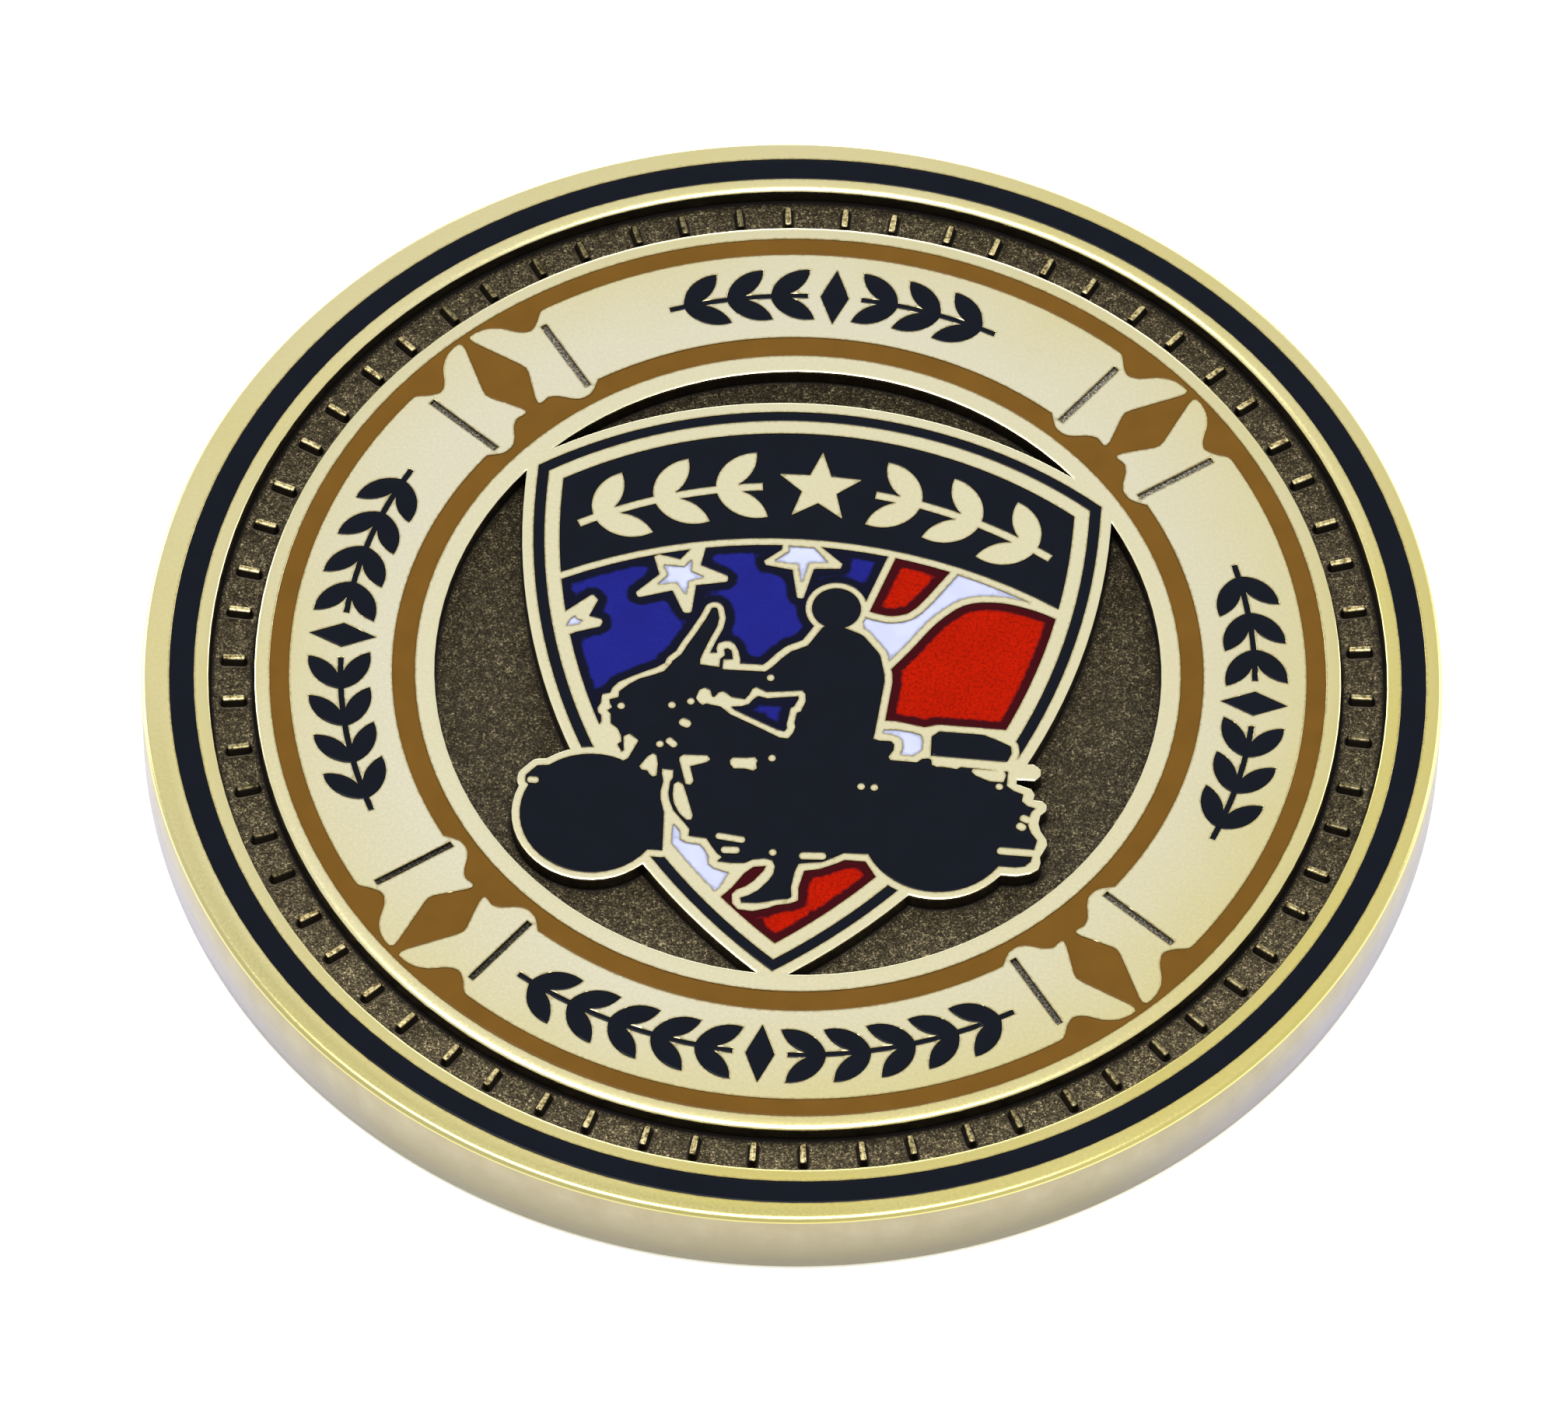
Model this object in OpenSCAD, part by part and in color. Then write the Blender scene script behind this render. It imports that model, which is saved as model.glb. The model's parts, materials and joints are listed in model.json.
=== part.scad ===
// Challenge coin: a die-struck metal body whose cells are filled with hard enamel.
// The coin lies flat with its struck face up and the head of its design towards +Y.
// Every enamel fill is a solid of its own that sits in its own cell of the body.

/* [Blank] */
// Diameter of the coin
coin_d = 44.45; // [44.2:0.05:45]
// Thickness of the coin
coin_t = 3; // [2.8:0.1:3.6]
// Bevel between each face and the edge
edge_bevel = 0.25; // [0.1:0.05:0.35]
// How far the struck design lies off the middle of the blank
strike_x = 0.2; // [0:0.05:0.25]

/* [Depths] */
// Depth of the enamel cells
enamel_depth = 0.5; // [0.3:0.05:0.6]
// Depth of the sandblasted recesses
recess_depth = 0.7; // [0.6:0.05:0.9]
// Height of the small bars above the floor of their channel
bar_height = 0.36; // [0.2:0.02:0.5]
// Depth of the fold slits cut across the ribbons
slit_depth = 0.15; // [0.1:0.05:0.3]

/* [Rings] */
// Outer radius of the black rim enamel
rim_enamel_r = 21.47; // [21.3:0.01:21.6]
// Width of the black rim enamel
rim_enamel_w = 0.85; // [0.6:0.05:1]
// Outer radius of the channel that holds the bars
channel_r = 20.12; // [20:0.01:20.3]
// Width of the channel
channel_w = 1.55; // [1.4:0.05:1.6]
// Outer radius of the brown enamel that surrounds the ribbons
scroll_r = 18.05; // [18:0.01:18.2]
// Inner radius of the brown enamel
scroll_inner_r = 13.08; // [12.9:0.01:13.2]
// Radius of the central recess
centre_r = 12.42; // [12.3:0.01:12.6]

/* [Bars] */
// Number of pairs of bars round the channel
bar_pairs = 33; // [24:1:36]
// Angle between the two bars of a pair
bar_pair_angle = 5; // [4:0.5:5.5]
// Length of a bar along the radius
bar_length = 0.87; // [0.6:0.05:1]
// Width of a bar
bar_w = 0.3; // [0.2:0.02:0.4]

/* [Ribbons] */
// Outer radius of a ribbon
ribbon_r = 17.37; // [17.2:0.01:17.5]
// Inner radius of a ribbon
ribbon_inner_r = 13.86; // [13.7:0.01:14]
// Angle from the middle of a gap to the slit in the ribbon
slit_angle = 8.6; // [8:0.1:9]
// Width of a slit
slit_w = 0.24; // [0.15:0.01:0.3]
// Length of a laurel leaf on a ribbon
leaf_length = 1.8; // [1.2:0.05:1.9]
// Width of a laurel leaf on a ribbon
leaf_w = 0.74; // [0.5:0.02:0.8]
// Angle between neighbouring pairs of leaves
leaf_step = 5.6; // [5.2:0.1:6.4]
// Pairs of leaves on each side of the middle of the top ribbon
top_pairs = 3; // [1:1:5]
// Pairs of leaves on each side of the middle of the left ribbon
left_pairs = 4; // [1:1:5]
// Pairs of leaves on each side of the middle of the bottom ribbon
bottom_pairs = 5; // [1:1:5]
// Pairs of leaves on each side of the middle of the right ribbon
right_pairs = 3; // [1:1:5]

/* [Shield] */
// Half width of the black line round the shield
shield_half_w = 9.72; // [9.68:0.01:9.74]
// Radius of the arched top of the black line
shield_top_arc = 17; // [16.5:0.1:17.5]
// Height of the arched top above the middle of the coin
shield_top_y = 10.69; // [10.6:0.01:10.75]
// Radius of the curved flanks, which meet at the foot of the shield
flank_arc = 23.45; // [23.35:0.05:23.5]
// Height at which the flanks start to curve
flank_y = 6.7; // [6.6:0.05:6.75]
// How far the shield and its picture sit to the right of the middle of the rings
picture_x = 0.13; // [0.1:0.01:0.16]
// Width of the raised line outside the black line
shield_outer_line = 0.38; // [0.36:0.01:0.4]
// Width of the black line
shield_black_line = 0.38; // [0.34:0.01:0.42]
// Width of the raised line inside the black line
shield_inner_line = 0.52; // [0.5:0.01:0.54]
// Radius of the arched foot of the chief
chief_arc = 18.4; // [18.2:0.1:18.6]
// Height of the foot of the chief above the middle of the coin
chief_y = 5.37; // [5.3:0.01:5.45]
// Width of the raised lines between the coloured cells
cell_line = 0.27; // [0.24:0.01:0.3]
// Width of the raised line round the silhouette
figure_line = 0.27; // [0.26:0.01:0.28]

/* [Reverse] */
// Distance from the middle of the reverse star to its points
reverse_star_r = 7.5; // [6:0.5:8]
// How far the points of the raised border stand beyond the reverse star's own
reverse_border = 1.6; // [1:0.1:2]
// Radius of the wreath
wreath_r = 14.5; // [14:0.1:15]
// Pairs of leaves on each side of the wreath
wreath_pairs = 11; // [8:1:11]

/* [Hidden] */
$fn = 96;

coin_r = coin_d / 2;
channel_inner_r = channel_r - channel_w;
bar_mid_r = channel_r - channel_w / 2 - 0.06;
ribbon_mid_r = (ribbon_r + ribbon_inner_r) / 2;
shield_inset = shield_black_line + shield_inner_line;
shield_top_centre = shield_top_y - shield_top_arc;
flank_centre = flank_arc - shield_half_w;
chief_centre = chief_y - chief_arc;
leaf_spread = 36;
stem_w = 0.2;
lozenge_w = 1;
lozenge_h = 2.3;
// Angles along a ribbon: from its middle to the stem, to the foot of the first leaves,
// and from the last leaves to the end of the stem
stem_gap = 3.4;
first_leaf = 2.6;
stem_tail = 4.4;
arc_step = 2;
corner_step = 20;

// Laurel branches and star of the chief. Angles are measured from the top of the coin.
chief_motif_arc = 16;
chief_motif_y = 7.55;
chief_star_r = 1.5;
chief_stem_w = 0.3;
chief_stem_from = 7;
chief_stem_to = 30.5;
chief_leaf_l = 2.1;
chief_leaf_w = 0.92;
chief_leaf_spread = 40;
chief_first_leaf = 12.8;
chief_leaf_step = 7.8;

// Wreath of the reverse
wreath_leaf_l = 3.1;
wreath_leaf_w = 1.3;
wreath_leaf_spread = 32;
wreath_gap = 14;
wreath_step = 12.5;

// Enamel colours
ink_black = [0.11, 0.12, 0.15];
scroll_brown = [0.49, 0.35, 0.15];
flag_blue = [0.14, 0.14, 0.59];
flag_red = [0.78, 0.12, 0.02];
flag_white = [0.9, 0.9, 0.98];
plated_gold = [0.85, 0.81, 0.62];

// One swallow tail of a ribbon, from its inner edge round the tips to its outer edge.
// Each point is [angle from the middle of the gap, radius].
tail_inner_edge = [
    [10.4, 13.86], [9.5, 13.67], [8.5, 13.5], [7.4, 13.45], [6.4, 13.49],
    [5.3, 13.68], [4.1, 14], [2.9, 14.17], [2, 14.14], [1.4, 14.13],
];
tail_fork = [
    [1.12, 14.2], [1.3, 14.4], [3.16, 15.42], [3.3, 15.62], [3.1, 15.84],
    [0.68, 17.55], [0.58, 17.74], [0.85, 17.86],
];
tail_outer_edge = [
    [1.5, 17.87], [2.9, 17.76], [4.3, 17.46], [5.6, 17], [6.9, 16.82],
    [8.2, 17.02], [9.3, 17.33], [10.4, 17.37],
];

// Middle lines of the two raised waves between the stripe cells
upper_wave = [
    [5.3, 5.1], [4.9, 4.47], [4.5, 3.83], [4.1, 3.2], [3.77, 2.76], [3.43, 2.48], [2.95, 2.34],
    [2.5, 2.36], [1.9, 2.5],
];
lower_wave = [
    [9.1, 2.7], [8.1, 3.16], [7.1, 3.42], [6.37, 3.48], [5.67, 3.4], [5.17, 3.19], [4.74, 2.83],
    [4.3, 2.35], [3.94, 1.83], [3.6, 1.3], [3.27, 0.83], [2.6, -0.1],
];
// Lower edge of the large red cell
red_large_foot = [
    [1.97, -1.85], [3.37, -1.83], [4.37, -1.99], [4.77, -1.85], [9.17, -1.85],
];
// Ends of the straight raised line between the blue cell and the first red cell
hoist_line = [[2.92, 5.6], [1.89, 2.3]];
// Lowest white and red cells and the white cell under the seat, before the shield trims them
white_lower_shape = [
    [-3.84, -7.03, 0.05], [-3.81, -7.57, 0.05], [-4.03, -8.2, 0.05], [-2.63, -9.6, 0.05],
    [-2.18, -9.25, 0.05], [-2.05, -9.1, 0.05], [-1.79, -8.49, 0.03], [-2.32, -8.34, 0.05],
    [-2.51, -8.18, 0.05], [-2.54, -7.87, 0.1], [-2.7, -7.59, 0.1], [-2.86, -7.43, 0.05],
    [-3.32, -7.39, 0.1], [-3.54, -7.28, 0.05], [-3.57, -6.96, 0.1], [-3.82, -6.65, 0.03],
];
red_lower_shape = [
    [-1.95, -9.46, 0.02], [-3.13, -10.5, 0.1], [0, -13.2, 0.1], [4.07, -9.4, 0.1],
    [3.21, -8.24, 0.02], [2.79, -7.62, 0.06], [2.08, -7.62, 0.15], [1.83, -7.78, 0.1],
    [1.27, -8.06, 0.2], [0.75, -8.18, 0.05], [0.61, -8.9, 0.2], [0.65, -9.4, 0.08],
    [0.4, -9.53, 0.1], [-0.1, -9.65, 0.1], [-0.35, -9.79, 0.1], [-0.86, -9.96, 0.15],
    [-1.36, -9.93, 0.1], [-1.57, -9.71, 0.1], [-1.61, -9.34, 0.1], [-1.48, -9.15, 0.1],
    [-1.17, -8.98, 0.1], [-0.92, -8.74, 0.2], [-0.64, -8.34, 0.1], [-0.54, -8.1, 0.03],
    [-0.98, -8.18, 0.1], [-1.26, -8.46, 0.1], [-1.64, -9.09, 0.2],
];
white_seat_shape = [
    [3.63, -3.18, 0.05], [4.05, -3.18, 0.08], [4.23, -3.05, 0.08], [4.35, -2.89, 0.08],
    [4.35, -2.56, 0.1], [4.27, -2.31, 0.06], [3.94, -2.22, 0.2], [3.38, -2.17, 0.2],
    [3, -2.21, 0.04], [2.96, -2.34, 0.03], [3.27, -2.38, 0.1], [3.51, -2.44, 0.1],
    [3.66, -2.63, 0.08], [3.69, -2.89, 0.1],
];

// The two whole stars of the blue cell: their raised shapes and their cells
star_upper_border = [
    [-2.82, 3.38, 0.1], [-2.82, 3.61, 0.1], [-3.8, 3.98, 0.04], [-3.65, 5, 0.05],
    [-4.03, 5, 0.05], [-4.17, 4.67, 0.02], [-4.52, 4.16, 0.04], [-5.25, 4.3, 0.03],
    [-5.43, 4.2, 0.05], [-5.18, 3.48, 0.04], [-5.93, 2.66, 0.1], [-5.83, 2.45, 0.1],
    [-4.68, 2.85, 0.04], [-4.22, 1.96, 0.12], [-3.95, 1.98, 0.12], [-3.89, 3.14, 0.04],
];
star_upper_cell = [
    [-3.62, 3.51, 0.03], [-4.11, 3.72, 0.06], [-4.11, 4.22, 0.03], [-4.36, 3.88, 0.08],
    [-5.07, 3.89, 0.03], [-4.89, 3.47, 0.06], [-5.24, 3.04, 0.03], [-4.57, 3.2, 0.06],
    [-4.2, 2.69, 0.03], [-4.15, 3.28, 0.06],
];
star_middle_border = [
    [0.99, 4.27, 0.06], [1.04, 4.47, 0.06], [0.23, 5.13, 0.02], [0.07, 5.4, 0.02],
    [-1.07, 5.4, 0.02], [-1.08, 4.88, 0.03], [-1.66, 4.36, 0.06], [-1.59, 4.19, 0.06],
    [-0.65, 4.07, 0.02], [-0.4, 2.92, 0.09], [-0.18, 2.92, 0.09], [0.08, 4.18, 0.02],
];
star_middle_cell = [
    [0.55, 4.49, 0.03], [0.03, 5.06, 0.03], [-0.85, 5.06, 0.03], [-0.83, 4.83, 0.05],
    [-1.27, 4.43, 0.02], [-1.23, 4.37, 0.02], [-0.47, 4.33, 0.05], [-0.32, 3.62, 0.02],
    [-0.27, 3.62, 0.02], [-0.11, 4.42, 0.06],
];
star_waist = 0.42;
// The star that the left flank cuts off: its raised shape and its cell
star_left_border = [
    [-8.73, 0.75, 0.05], [-7.98, 0.74, 0.05], [-7.83, 0.84, 0.1], [-7.01, 1.14, 0.12],
    [-6.91, 1.42, 0.12], [-7.43, 1.54, 0.03], [-7.17, 2.24, 0.1], [-7.39, 2.46, 0.12],
    [-8.25, 1.66, 0.03], [-8.73, 1.8, 0.05],
];
star_left_cell = [
    [-8.17, 1.06, 0.02], [-7.75, 1.18, 0.02], [-7.63, 1.33, 0.02], [-7.83, 1.4, 0.04],
    [-7.91, 1.5, 0.02], [-8.07, 1.36, 0.02],
];

// Silhouette of the motorcycle and its rider, in profile and facing left.
// Each corner is [x, y, corner radius], counter-clockwise.
front_guard = [
    [-8.79, -5.62, 0.05], [-5.13, -5.8, 0.1], [-5.43, -4.4, 0.1], [-5.79, -4.28, 0.04],
    [-6.18, -4.13, 0.4], [-6.67, -4.08, 0.5], [-7.09, -4.13, 0.4], [-7.53, -4.24, 0.4],
    [-7.83, -4.39, 0.3], [-8.27, -4.68, 0.1], [-8.63, -4.72, 0.12], [-8.99, -5.15, 0.12],
    [-8.99, -5.4, 0.1],
];
mud_flap = [
    [-5.73, -7.8, 0.1], [-4.1, -7.8, 0.03], [-4.13, -7.19, 0.2], [-4.18, -6.24, 0.3],
    [-4.34, -5.72, 0.2], [-4.37, -5.4, 0.2], [-4.31, -4.98, 0.1], [-4.39, -4.66, 0.1],
    [-4.39, -4, 0.05], [-5.73, -4.2, 0.05],
];
fairing = [
    [-5.75, -4.4, 0.03], [-2.8, -4.6, 0.1], [-2.53, -1, 0.3], [-2.73, -0.16, 0.1],
    [-4.13, -0.05, 0.1], [-4.43, -0.1, 0.05], [-4.67, -0.49, 0.2], [-5.06, -0.69, 0.3],
    [-5.48, -0.87, 0.3], [-5.83, -1.14, 0.2], [-6.13, -1.46, 0.04], [-6.13, -1.7, 0.08],
    [-6.43, -1.82, 0.03], [-6.4, -1.98, 0.04], [-6.31, -2.13, 0.04], [-6.46, -2.27, 0.03],
    [-6.34, -2.4, 0.04], [-6.3, -2.79, 0.06], [-6.05, -2.98, 0.12], [-5.91, -3.25, 0.1],
    [-5.87, -3.5, 0.05], [-6, -3.62, 0.02], [-5.83, -3.92, 0.03],
];
fairing_rim = [
    [-6.73, -4.4, 0.05], [-3.13, -4.6, 0.1], [-3.13, -0.2, 0.1], [-4.33, 0.25, 0.05],
    [-4.67, -0.15, 0.2], [-4.93, -0.35, 0.2], [-5.73, -0.79, 0.3], [-6.18, -1.08, 0.2],
    [-6.38, -1.35, 0.08], [-6.43, -1.55, 0.03], [-6.7, -1.63, 0.08], [-6.71, -2, 0.08],
    [-6.81, -2.2, 0.08], [-6.77, -2.38, 0.06], [-6.65, -2.5, 0.04], [-6.63, -2.75, 0.05],
    [-6.75, -3, 0.05],
];
windscreen = [
    [-4.53, -0.6, 0.05], [-3.43, -0.6, 0.05], [-3.49, 0.1, 0.1], [-3.4, 0.42, 0.2],
    [-3.23, 0.95, 0.3], [-3.03, 1.48, 0.2], [-2.98, 1.85, 0.1], [-3.09, 2.3, 0.1],
    [-3.27, 2.25, 0.08], [-3.43, 1.8, 0.2], [-3.73, 1.15, 0.3], [-3.98, 0.65, 0.3],
    [-4.15, 0.25, 0.2], [-4.43, -0.05, 0.1],
];
mirror = [
    [-2.81, -0.3, 0.02], [-2.7, -0.3, 0.02], [-2.7, 0.16, 0.02], [-2.37, 0.2, 0.04],
    [-2.45, 0.55, 0.06], [-2.58, 0.64, 0.05], [-2.71, 0.6, 0.04], [-2.66, 0.35, 0.04],
    [-2.81, 0.18, 0.05],
];
mirror_rim = [
    [-3.53, -0.3, 0.05], [-2.03, -0.3, 0.05], [-2.11, 0.05, 0.03], [-2.13, 0.25, 0.2],
    [-2.21, 0.55, 0.2], [-2.36, 0.82, 0.15], [-2.53, 0.93, 0.12], [-2.7, 0.92, 0.1],
    [-2.93, 0.82, 0.1], [-2.98, 0.6, 0.05], [-2.93, 0.42, 0.03], [-3.23, 0.4, 0.05],
];
arm = [
    [-3.43, -1.6, 0.1], [-1.73, -2.2, 0.1], [0.37, -2.2, 0.1], [0.82, 1.35, 0.05],
    [0.57, 1.33, 0.05], [0.07, 0.97, 0.2], [-0.43, 0.7, 0.2], [-0.73, 0.38, 0.2],
    [-1, 0.02, 0.2], [-1.23, -0.2, 0.1], [-2.63, -0.24, 0.05], [-2.88, -0.15, 0.05],
    [-3.43, -0.15, 0.05],
];
torso = [
    [-0.18, -3.4, 0.3], [2.57, -3.2, 0.1], [2.69, -2.4, 0.3], [2.77, -1.4, 0.6],
    [2.87, -0.1, 0.8], [2.62, 0.85, 0.5], [1.97, 1.6, 0.4], [1.3, 1.85, 0.15],
    [0.6, 1.85, 0.15], [0.07, 0.9, 0.3], [0.25, -1, 0.3],
];
bodywork = [
    [-4.02, -4.25, 0.02], [-4, -4.82, 0.1], [-4.08, -4.98, 0.1], [-4.1, -5.45, 0.15],
    [-4.03, -5.77, 0.2], [-3.87, -6.14, 0.2], [-3.5, -6.56, 0.2], [-3.26, -6.85, 0.1],
    [-3.27, -7.13, 0.05], [-2.65, -7.18, 0.1], [-2.45, -7.48, 0.1], [-2.25, -7.74, 0.05],
    [-2.07, -7.88, 0.04], [-2.23, -8.07, 0.03], [-1.73, -8.1, 0.1], [-1.29, -8.06, 0.1],
    [-1.04, -7.9, 0.1], [-0.63, -7.81, 0.1], [-0.35, -7.87, 0.08], [-0.25, -8.1, 0.1],
    [-0.28, -8.4, 0.1], [-0.42, -8.68, 0.2], [-0.73, -9.09, 0.3], [-1.04, -9.33, 0.1],
    [-1.32, -9.46, 0.04], [-1.26, -9.66, 0.04], [-0.73, -9.63, 0.2], [-0.35, -9.53, 0.1],
    [-0.1, -9.44, 0.1], [0.27, -9.38, 0.1], [0.41, -9.28, 0.06], [0.36, -8.9, 0.2],
    [0.43, -8.28, 0.2], [0.54, -7.92, 0.05], [0.9, -7.85, 0.2], [1.33, -7.78, 0.2],
    [1.65, -7.6, 0.1], [2.02, -7.36, 0.1], [2.91, -7.32, 0.08], [3.17, -7.7, 0.05],
    [4.77, -7.2, 0.1], [4.87, -3.55, 0.03], [4.73, -3.5, 0.03], [4.69, -3.3, 0.03],
    [4.59, -3.24, 0.03], [4.37, -3.29, 0.05], [4.21, -3.44, 0.05], [3.3, -3.43, 0.04],
    [3.23, -3.3, 0.04], [3.38, -3.03, 0.1], [3.39, -2.79, 0.06], [3.27, -2.66, 0.08],
    [2.87, -2.67, 0.1], [2.27, -2.5, 0.05], [-0.43, -2, 0.1], [-2.13, -1.2, 0.1],
    [-3.33, -1.9, 0.1],
];
pannier = [
    [3.17, -7, 0.1], [4.07, -7.9, 0.1], [6.91, -7.79, 0.1], [7.25, -7.41, 0.1],
    [7.87, -7.41, 0.1], [8.17, -7.34, 0.08], [8.37, -7.12, 0.04], [8.45, -6.6, 0.1],
    [8.52, -6.25, 0.08], [8.29, -5.95, 0.15], [8.16, -5.63, 0.1], [8.19, -5.3, 0.05],
    [8.24, -5.12, 0.04], [8.37, -4.95, 0.03], [8.09, -4.88, 0.05], [7.89, -4.7, 0.05],
    [7.91, -4.42, 0.04], [7.57, -4.3, 0.1], [7.33, -4.12, 0.05], [7.33, -3.54, 0.03],
    [5.72, -3.5, 0.03], [5.57, -3.6, 0.05], [4.77, -3.55, 0.03],
];
tail_rim = [
    [6.47, -8, 0.1], [7.36, -7.74, 0.1], [7.91, -7.74, 0.2], [8.39, -7.6, 0.15],
    [8.65, -7.4, 0.12], [8.7, -7.13, 0.1], [8.66, -6.9, 0.05], [8.73, -6.75, 0.05],
    [8.87, -6.4, 0.12], [8.83, -6.18, 0.1], [8.61, -5.86, 0.15], [8.51, -5.55, 0.15],
    [8.55, -5.22, 0.08], [8.73, -5.02, 0.08], [8.75, -4.78, 0.12], [8.57, -4.63, 0.06],
    [8.27, -4.62, 0.03], [8.3, -4.38, 0.1], [8.17, -4.18, 0.08], [7.65, -4.02, 0.04],
    [7.65, -3.84, 0.03], [8.27, -3.82, 0.12], [8.45, -3.6, 0.08], [8.43, -3.35, 0.1],
    [8.19, -3.17, 0.1], [7.07, -3.17, 0.05], [6.87, -5, 0.1],
];
top_case = [
    [4.66, -3.13, 0.03], [7.27, -3.16, 0.1], [7.4, -2.8, 0.2], [7.35, -2.5, 0.08],
    [6.82, -2.27, 0.3], [6.37, -2.11, 0.3], [4.87, -2.11, 0.12], [4.63, -2.35, 0.04],
];
front_wheel_at = [-6.65, -6.5];
front_wheel_r = 2.42;
rear_wheel_at = [5.1, -6.1];
rear_wheel_r = 2.55;
helmet_at = [0.98, 2.61];
helmet_r = 0.84;
// Width of the raised line round the helmet and the windscreen
thin_line = 0.22;
// Frame of the small window under the arm, and its glass
window_frame = [
    [-3.5, -1.5, 0.08], [-3.37, -1.68, 0.08], [-3.25, -1.76, 0.05], [-3.13, -1.69, 0.05],
    [-2.63, -1.77, 0.1], [-2.28, -2.05, 0.2], [-1.63, -2.34, 0.2], [-0.93, -2.66, 0.2],
    [-0.53, -2.85, 0.1], [-0.23, -2.87, 0.08], [-0.08, -2.62, 0.1], [-0.03, -2.38, 0.1],
    [-0.07, -2.2, 0.1], [-0.02, -1.79, 0.03], [0.11, -1.72, 0.03], [0.24, -1.3, 0.1],
    [0.21, -1, 0.08], [0.09, -0.87, 0.06], [-0.63, -0.98, 0.2], [-1.13, -1.04, 0.1],
    [-1.49, -0.87, 0.06], [-1.61, -0.95, 0.04], [-1.69, -1.18, 0.1], [-1.83, -1.4, 0.06],
    [-2.29, -1.36, 0.1], [-2.43, -1.24, 0.1], [-2.59, -1.15, 0.1], [-2.75, -1.2, 0.08],
    [-2.87, -1.4, 0.03], [-2.95, -1.4, 0.03], [-3.03, -1.14, 0.08], [-3.23, -1.05, 0.1],
    [-3.41, -1.15, 0.08],
];
window_glass = [
    [-2.28, -1.74, 0.02], [-2.13, -1.88, 0.03], [-1.43, -2.2, 0.2], [-0.63, -2.55, 0.1],
    [-0.38, -2.6, 0.04], [-0.3, -2.44, 0.05], [-0.33, -2.3, 0.1], [-0.29, -2, 0.1],
    [-0.25, -1.62, 0.04], [-0.13, -1.53, 0.04], [0, -1.2, 0.05], [-0.03, -1.11, 0.03],
    [-0.63, -1.21, 0.2], [-1.08, -1.29, 0.1], [-1.38, -1.22, 0.08], [-1.53, -1.35, 0.08],
    [-1.68, -1.58, 0.1], [-1.93, -1.69, 0.1],
];
// Luggage rack under the top case, all raised metal
rack = [[4.6, -3.75, 0.05], [8.2, -3.8, 0.1], [8.25, -3.18, 0.1], [4.6, -3.18, 0.05]];

// Small raised details inside the silhouette
lamp_dots = [
    [-6.01, -2.05], [-4.29, -1.86], [-3.66, -1.65], [-4.56, -3.49], [-0.71, -3.72],
    [-1.03, -0.44], [2.4, -4.6], [2.85, -4.6], [-0.37, -7.54], [7.08, -4.18],
];
lamp_dot_r = 0.13;
// Each bar is [x, y, length, width, angle] and has round ends
trim_bars = [
    [-3.78, -2.55, 0.43, 0.32, -25], [-4.17, -3.39, 0.45, 0.26, -40],
    [-1.85, -7.08, 1.02, 0.25, -6], [-1.81, -7.57, 0.64, 0.27, 3], [0.99, -7.56, 0.92, 0.28, 4],
    [7.89, -6.78, 1.4, 0.29, 0], [8.07, -5.42, 0.42, 0.28, -20], [7.94, -5.74, 0.36, 0.3, -30],
    [-8.73, -5.33, 0.4, 0.26, 0],
];
// Raised patches of odd shape, each an outline
steering_patch = [
    [-5.18, -4.45, 0.04], [-5.09, -4.58, 0.05], [-4.89, -4.6, 0.05], [-4.81, -4.74, 0.05],
    [-4.68, -4.84, 0.08], [-4.56, -4.77, 0.06], [-4.56, -4.3, 0.2], [-4.63, -3.97, 0.06],
    [-4.76, -3.89, 0.08], [-4.93, -4.02, 0.1],
];
crown_patch = [
    [-6.03, -4.1, 0.03], [-5.75, -4.28, 0.06], [-5.59, -4.16, 0.06], [-5.29, -3.4, 0.08],
    [-5.63, -3.16, 0.08], [-5.82, -3.28, 0.08], [-5.76, -3.85, 0.04], [-5.86, -3.93, 0.03],
];
strut_patch = [
    [-3.84, -4.1, 0.06], [-3.55, -5.03, 0.05], [-3.37, -5.05, 0.06], [-3.29, -4.88, 0.06],
    [-3.46, -4.3, 0.03], [-2.91, -4.08, 0.08], [-2.79, -3.95, 0.06], [-2.91, -3.81, 0.06],
    [-3.73, -3.85, 0.08], [-3.85, -3.97, 0.06],
];
blade_patch = [
    [-3.95, -5.45, 0.2], [-3.89, -5.82, 0.3], [-3.66, -6.24, 0.2], [-3.4, -6.48, 0.08],
    [-3.23, -6.46, 0.06], [-3.2, -6.27, 0.06], [-3.5, -5.4, 0.2], [-3.63, -5.06, 0.08],
    [-3.81, -4.95, 0.08], [-3.95, -5.08, 0.06],
];
vent_patch = [
    [-2.1, -4.1, 0.08], [-1.97, -4.25, 0.05], [-1.6, -4.22, 0.2], [-1.3, -4.28, 0.05],
    [-1.19, -4.18, 0.05], [-1.23, -3.98, 0.1], [-1.19, -3.85, 0.05], [-1.29, -3.74, 0.05],
    [-1.6, -3.79, 0.2], [-2.05, -3.82, 0.06], [-2.13, -3.93, 0.06],
];
luggage_patch = [
    [6.08, -3.64, 0.06], [6.25, -3.8, 0.1], [6.73, -3.99, 0.1], [7.21, -3.99, 0.08],
    [7.28, -3.69, 0.1], [7.2, -3.52, 0.06], [6.14, -3.53, 0.04],
];

function unit(v) = v / norm(v);
function outward(v) = [v[1], -v[0]];
function spun(v, a) = [v[0] * cos(a) - v[1] * sin(a), v[0] * sin(a) + v[1] * cos(a)];
function from_polar(a, r) = [r * cos(a), r * sin(a)];
function reversed(list) = [for (i = [len(list) - 1:-1:0]) list[i]];

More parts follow.
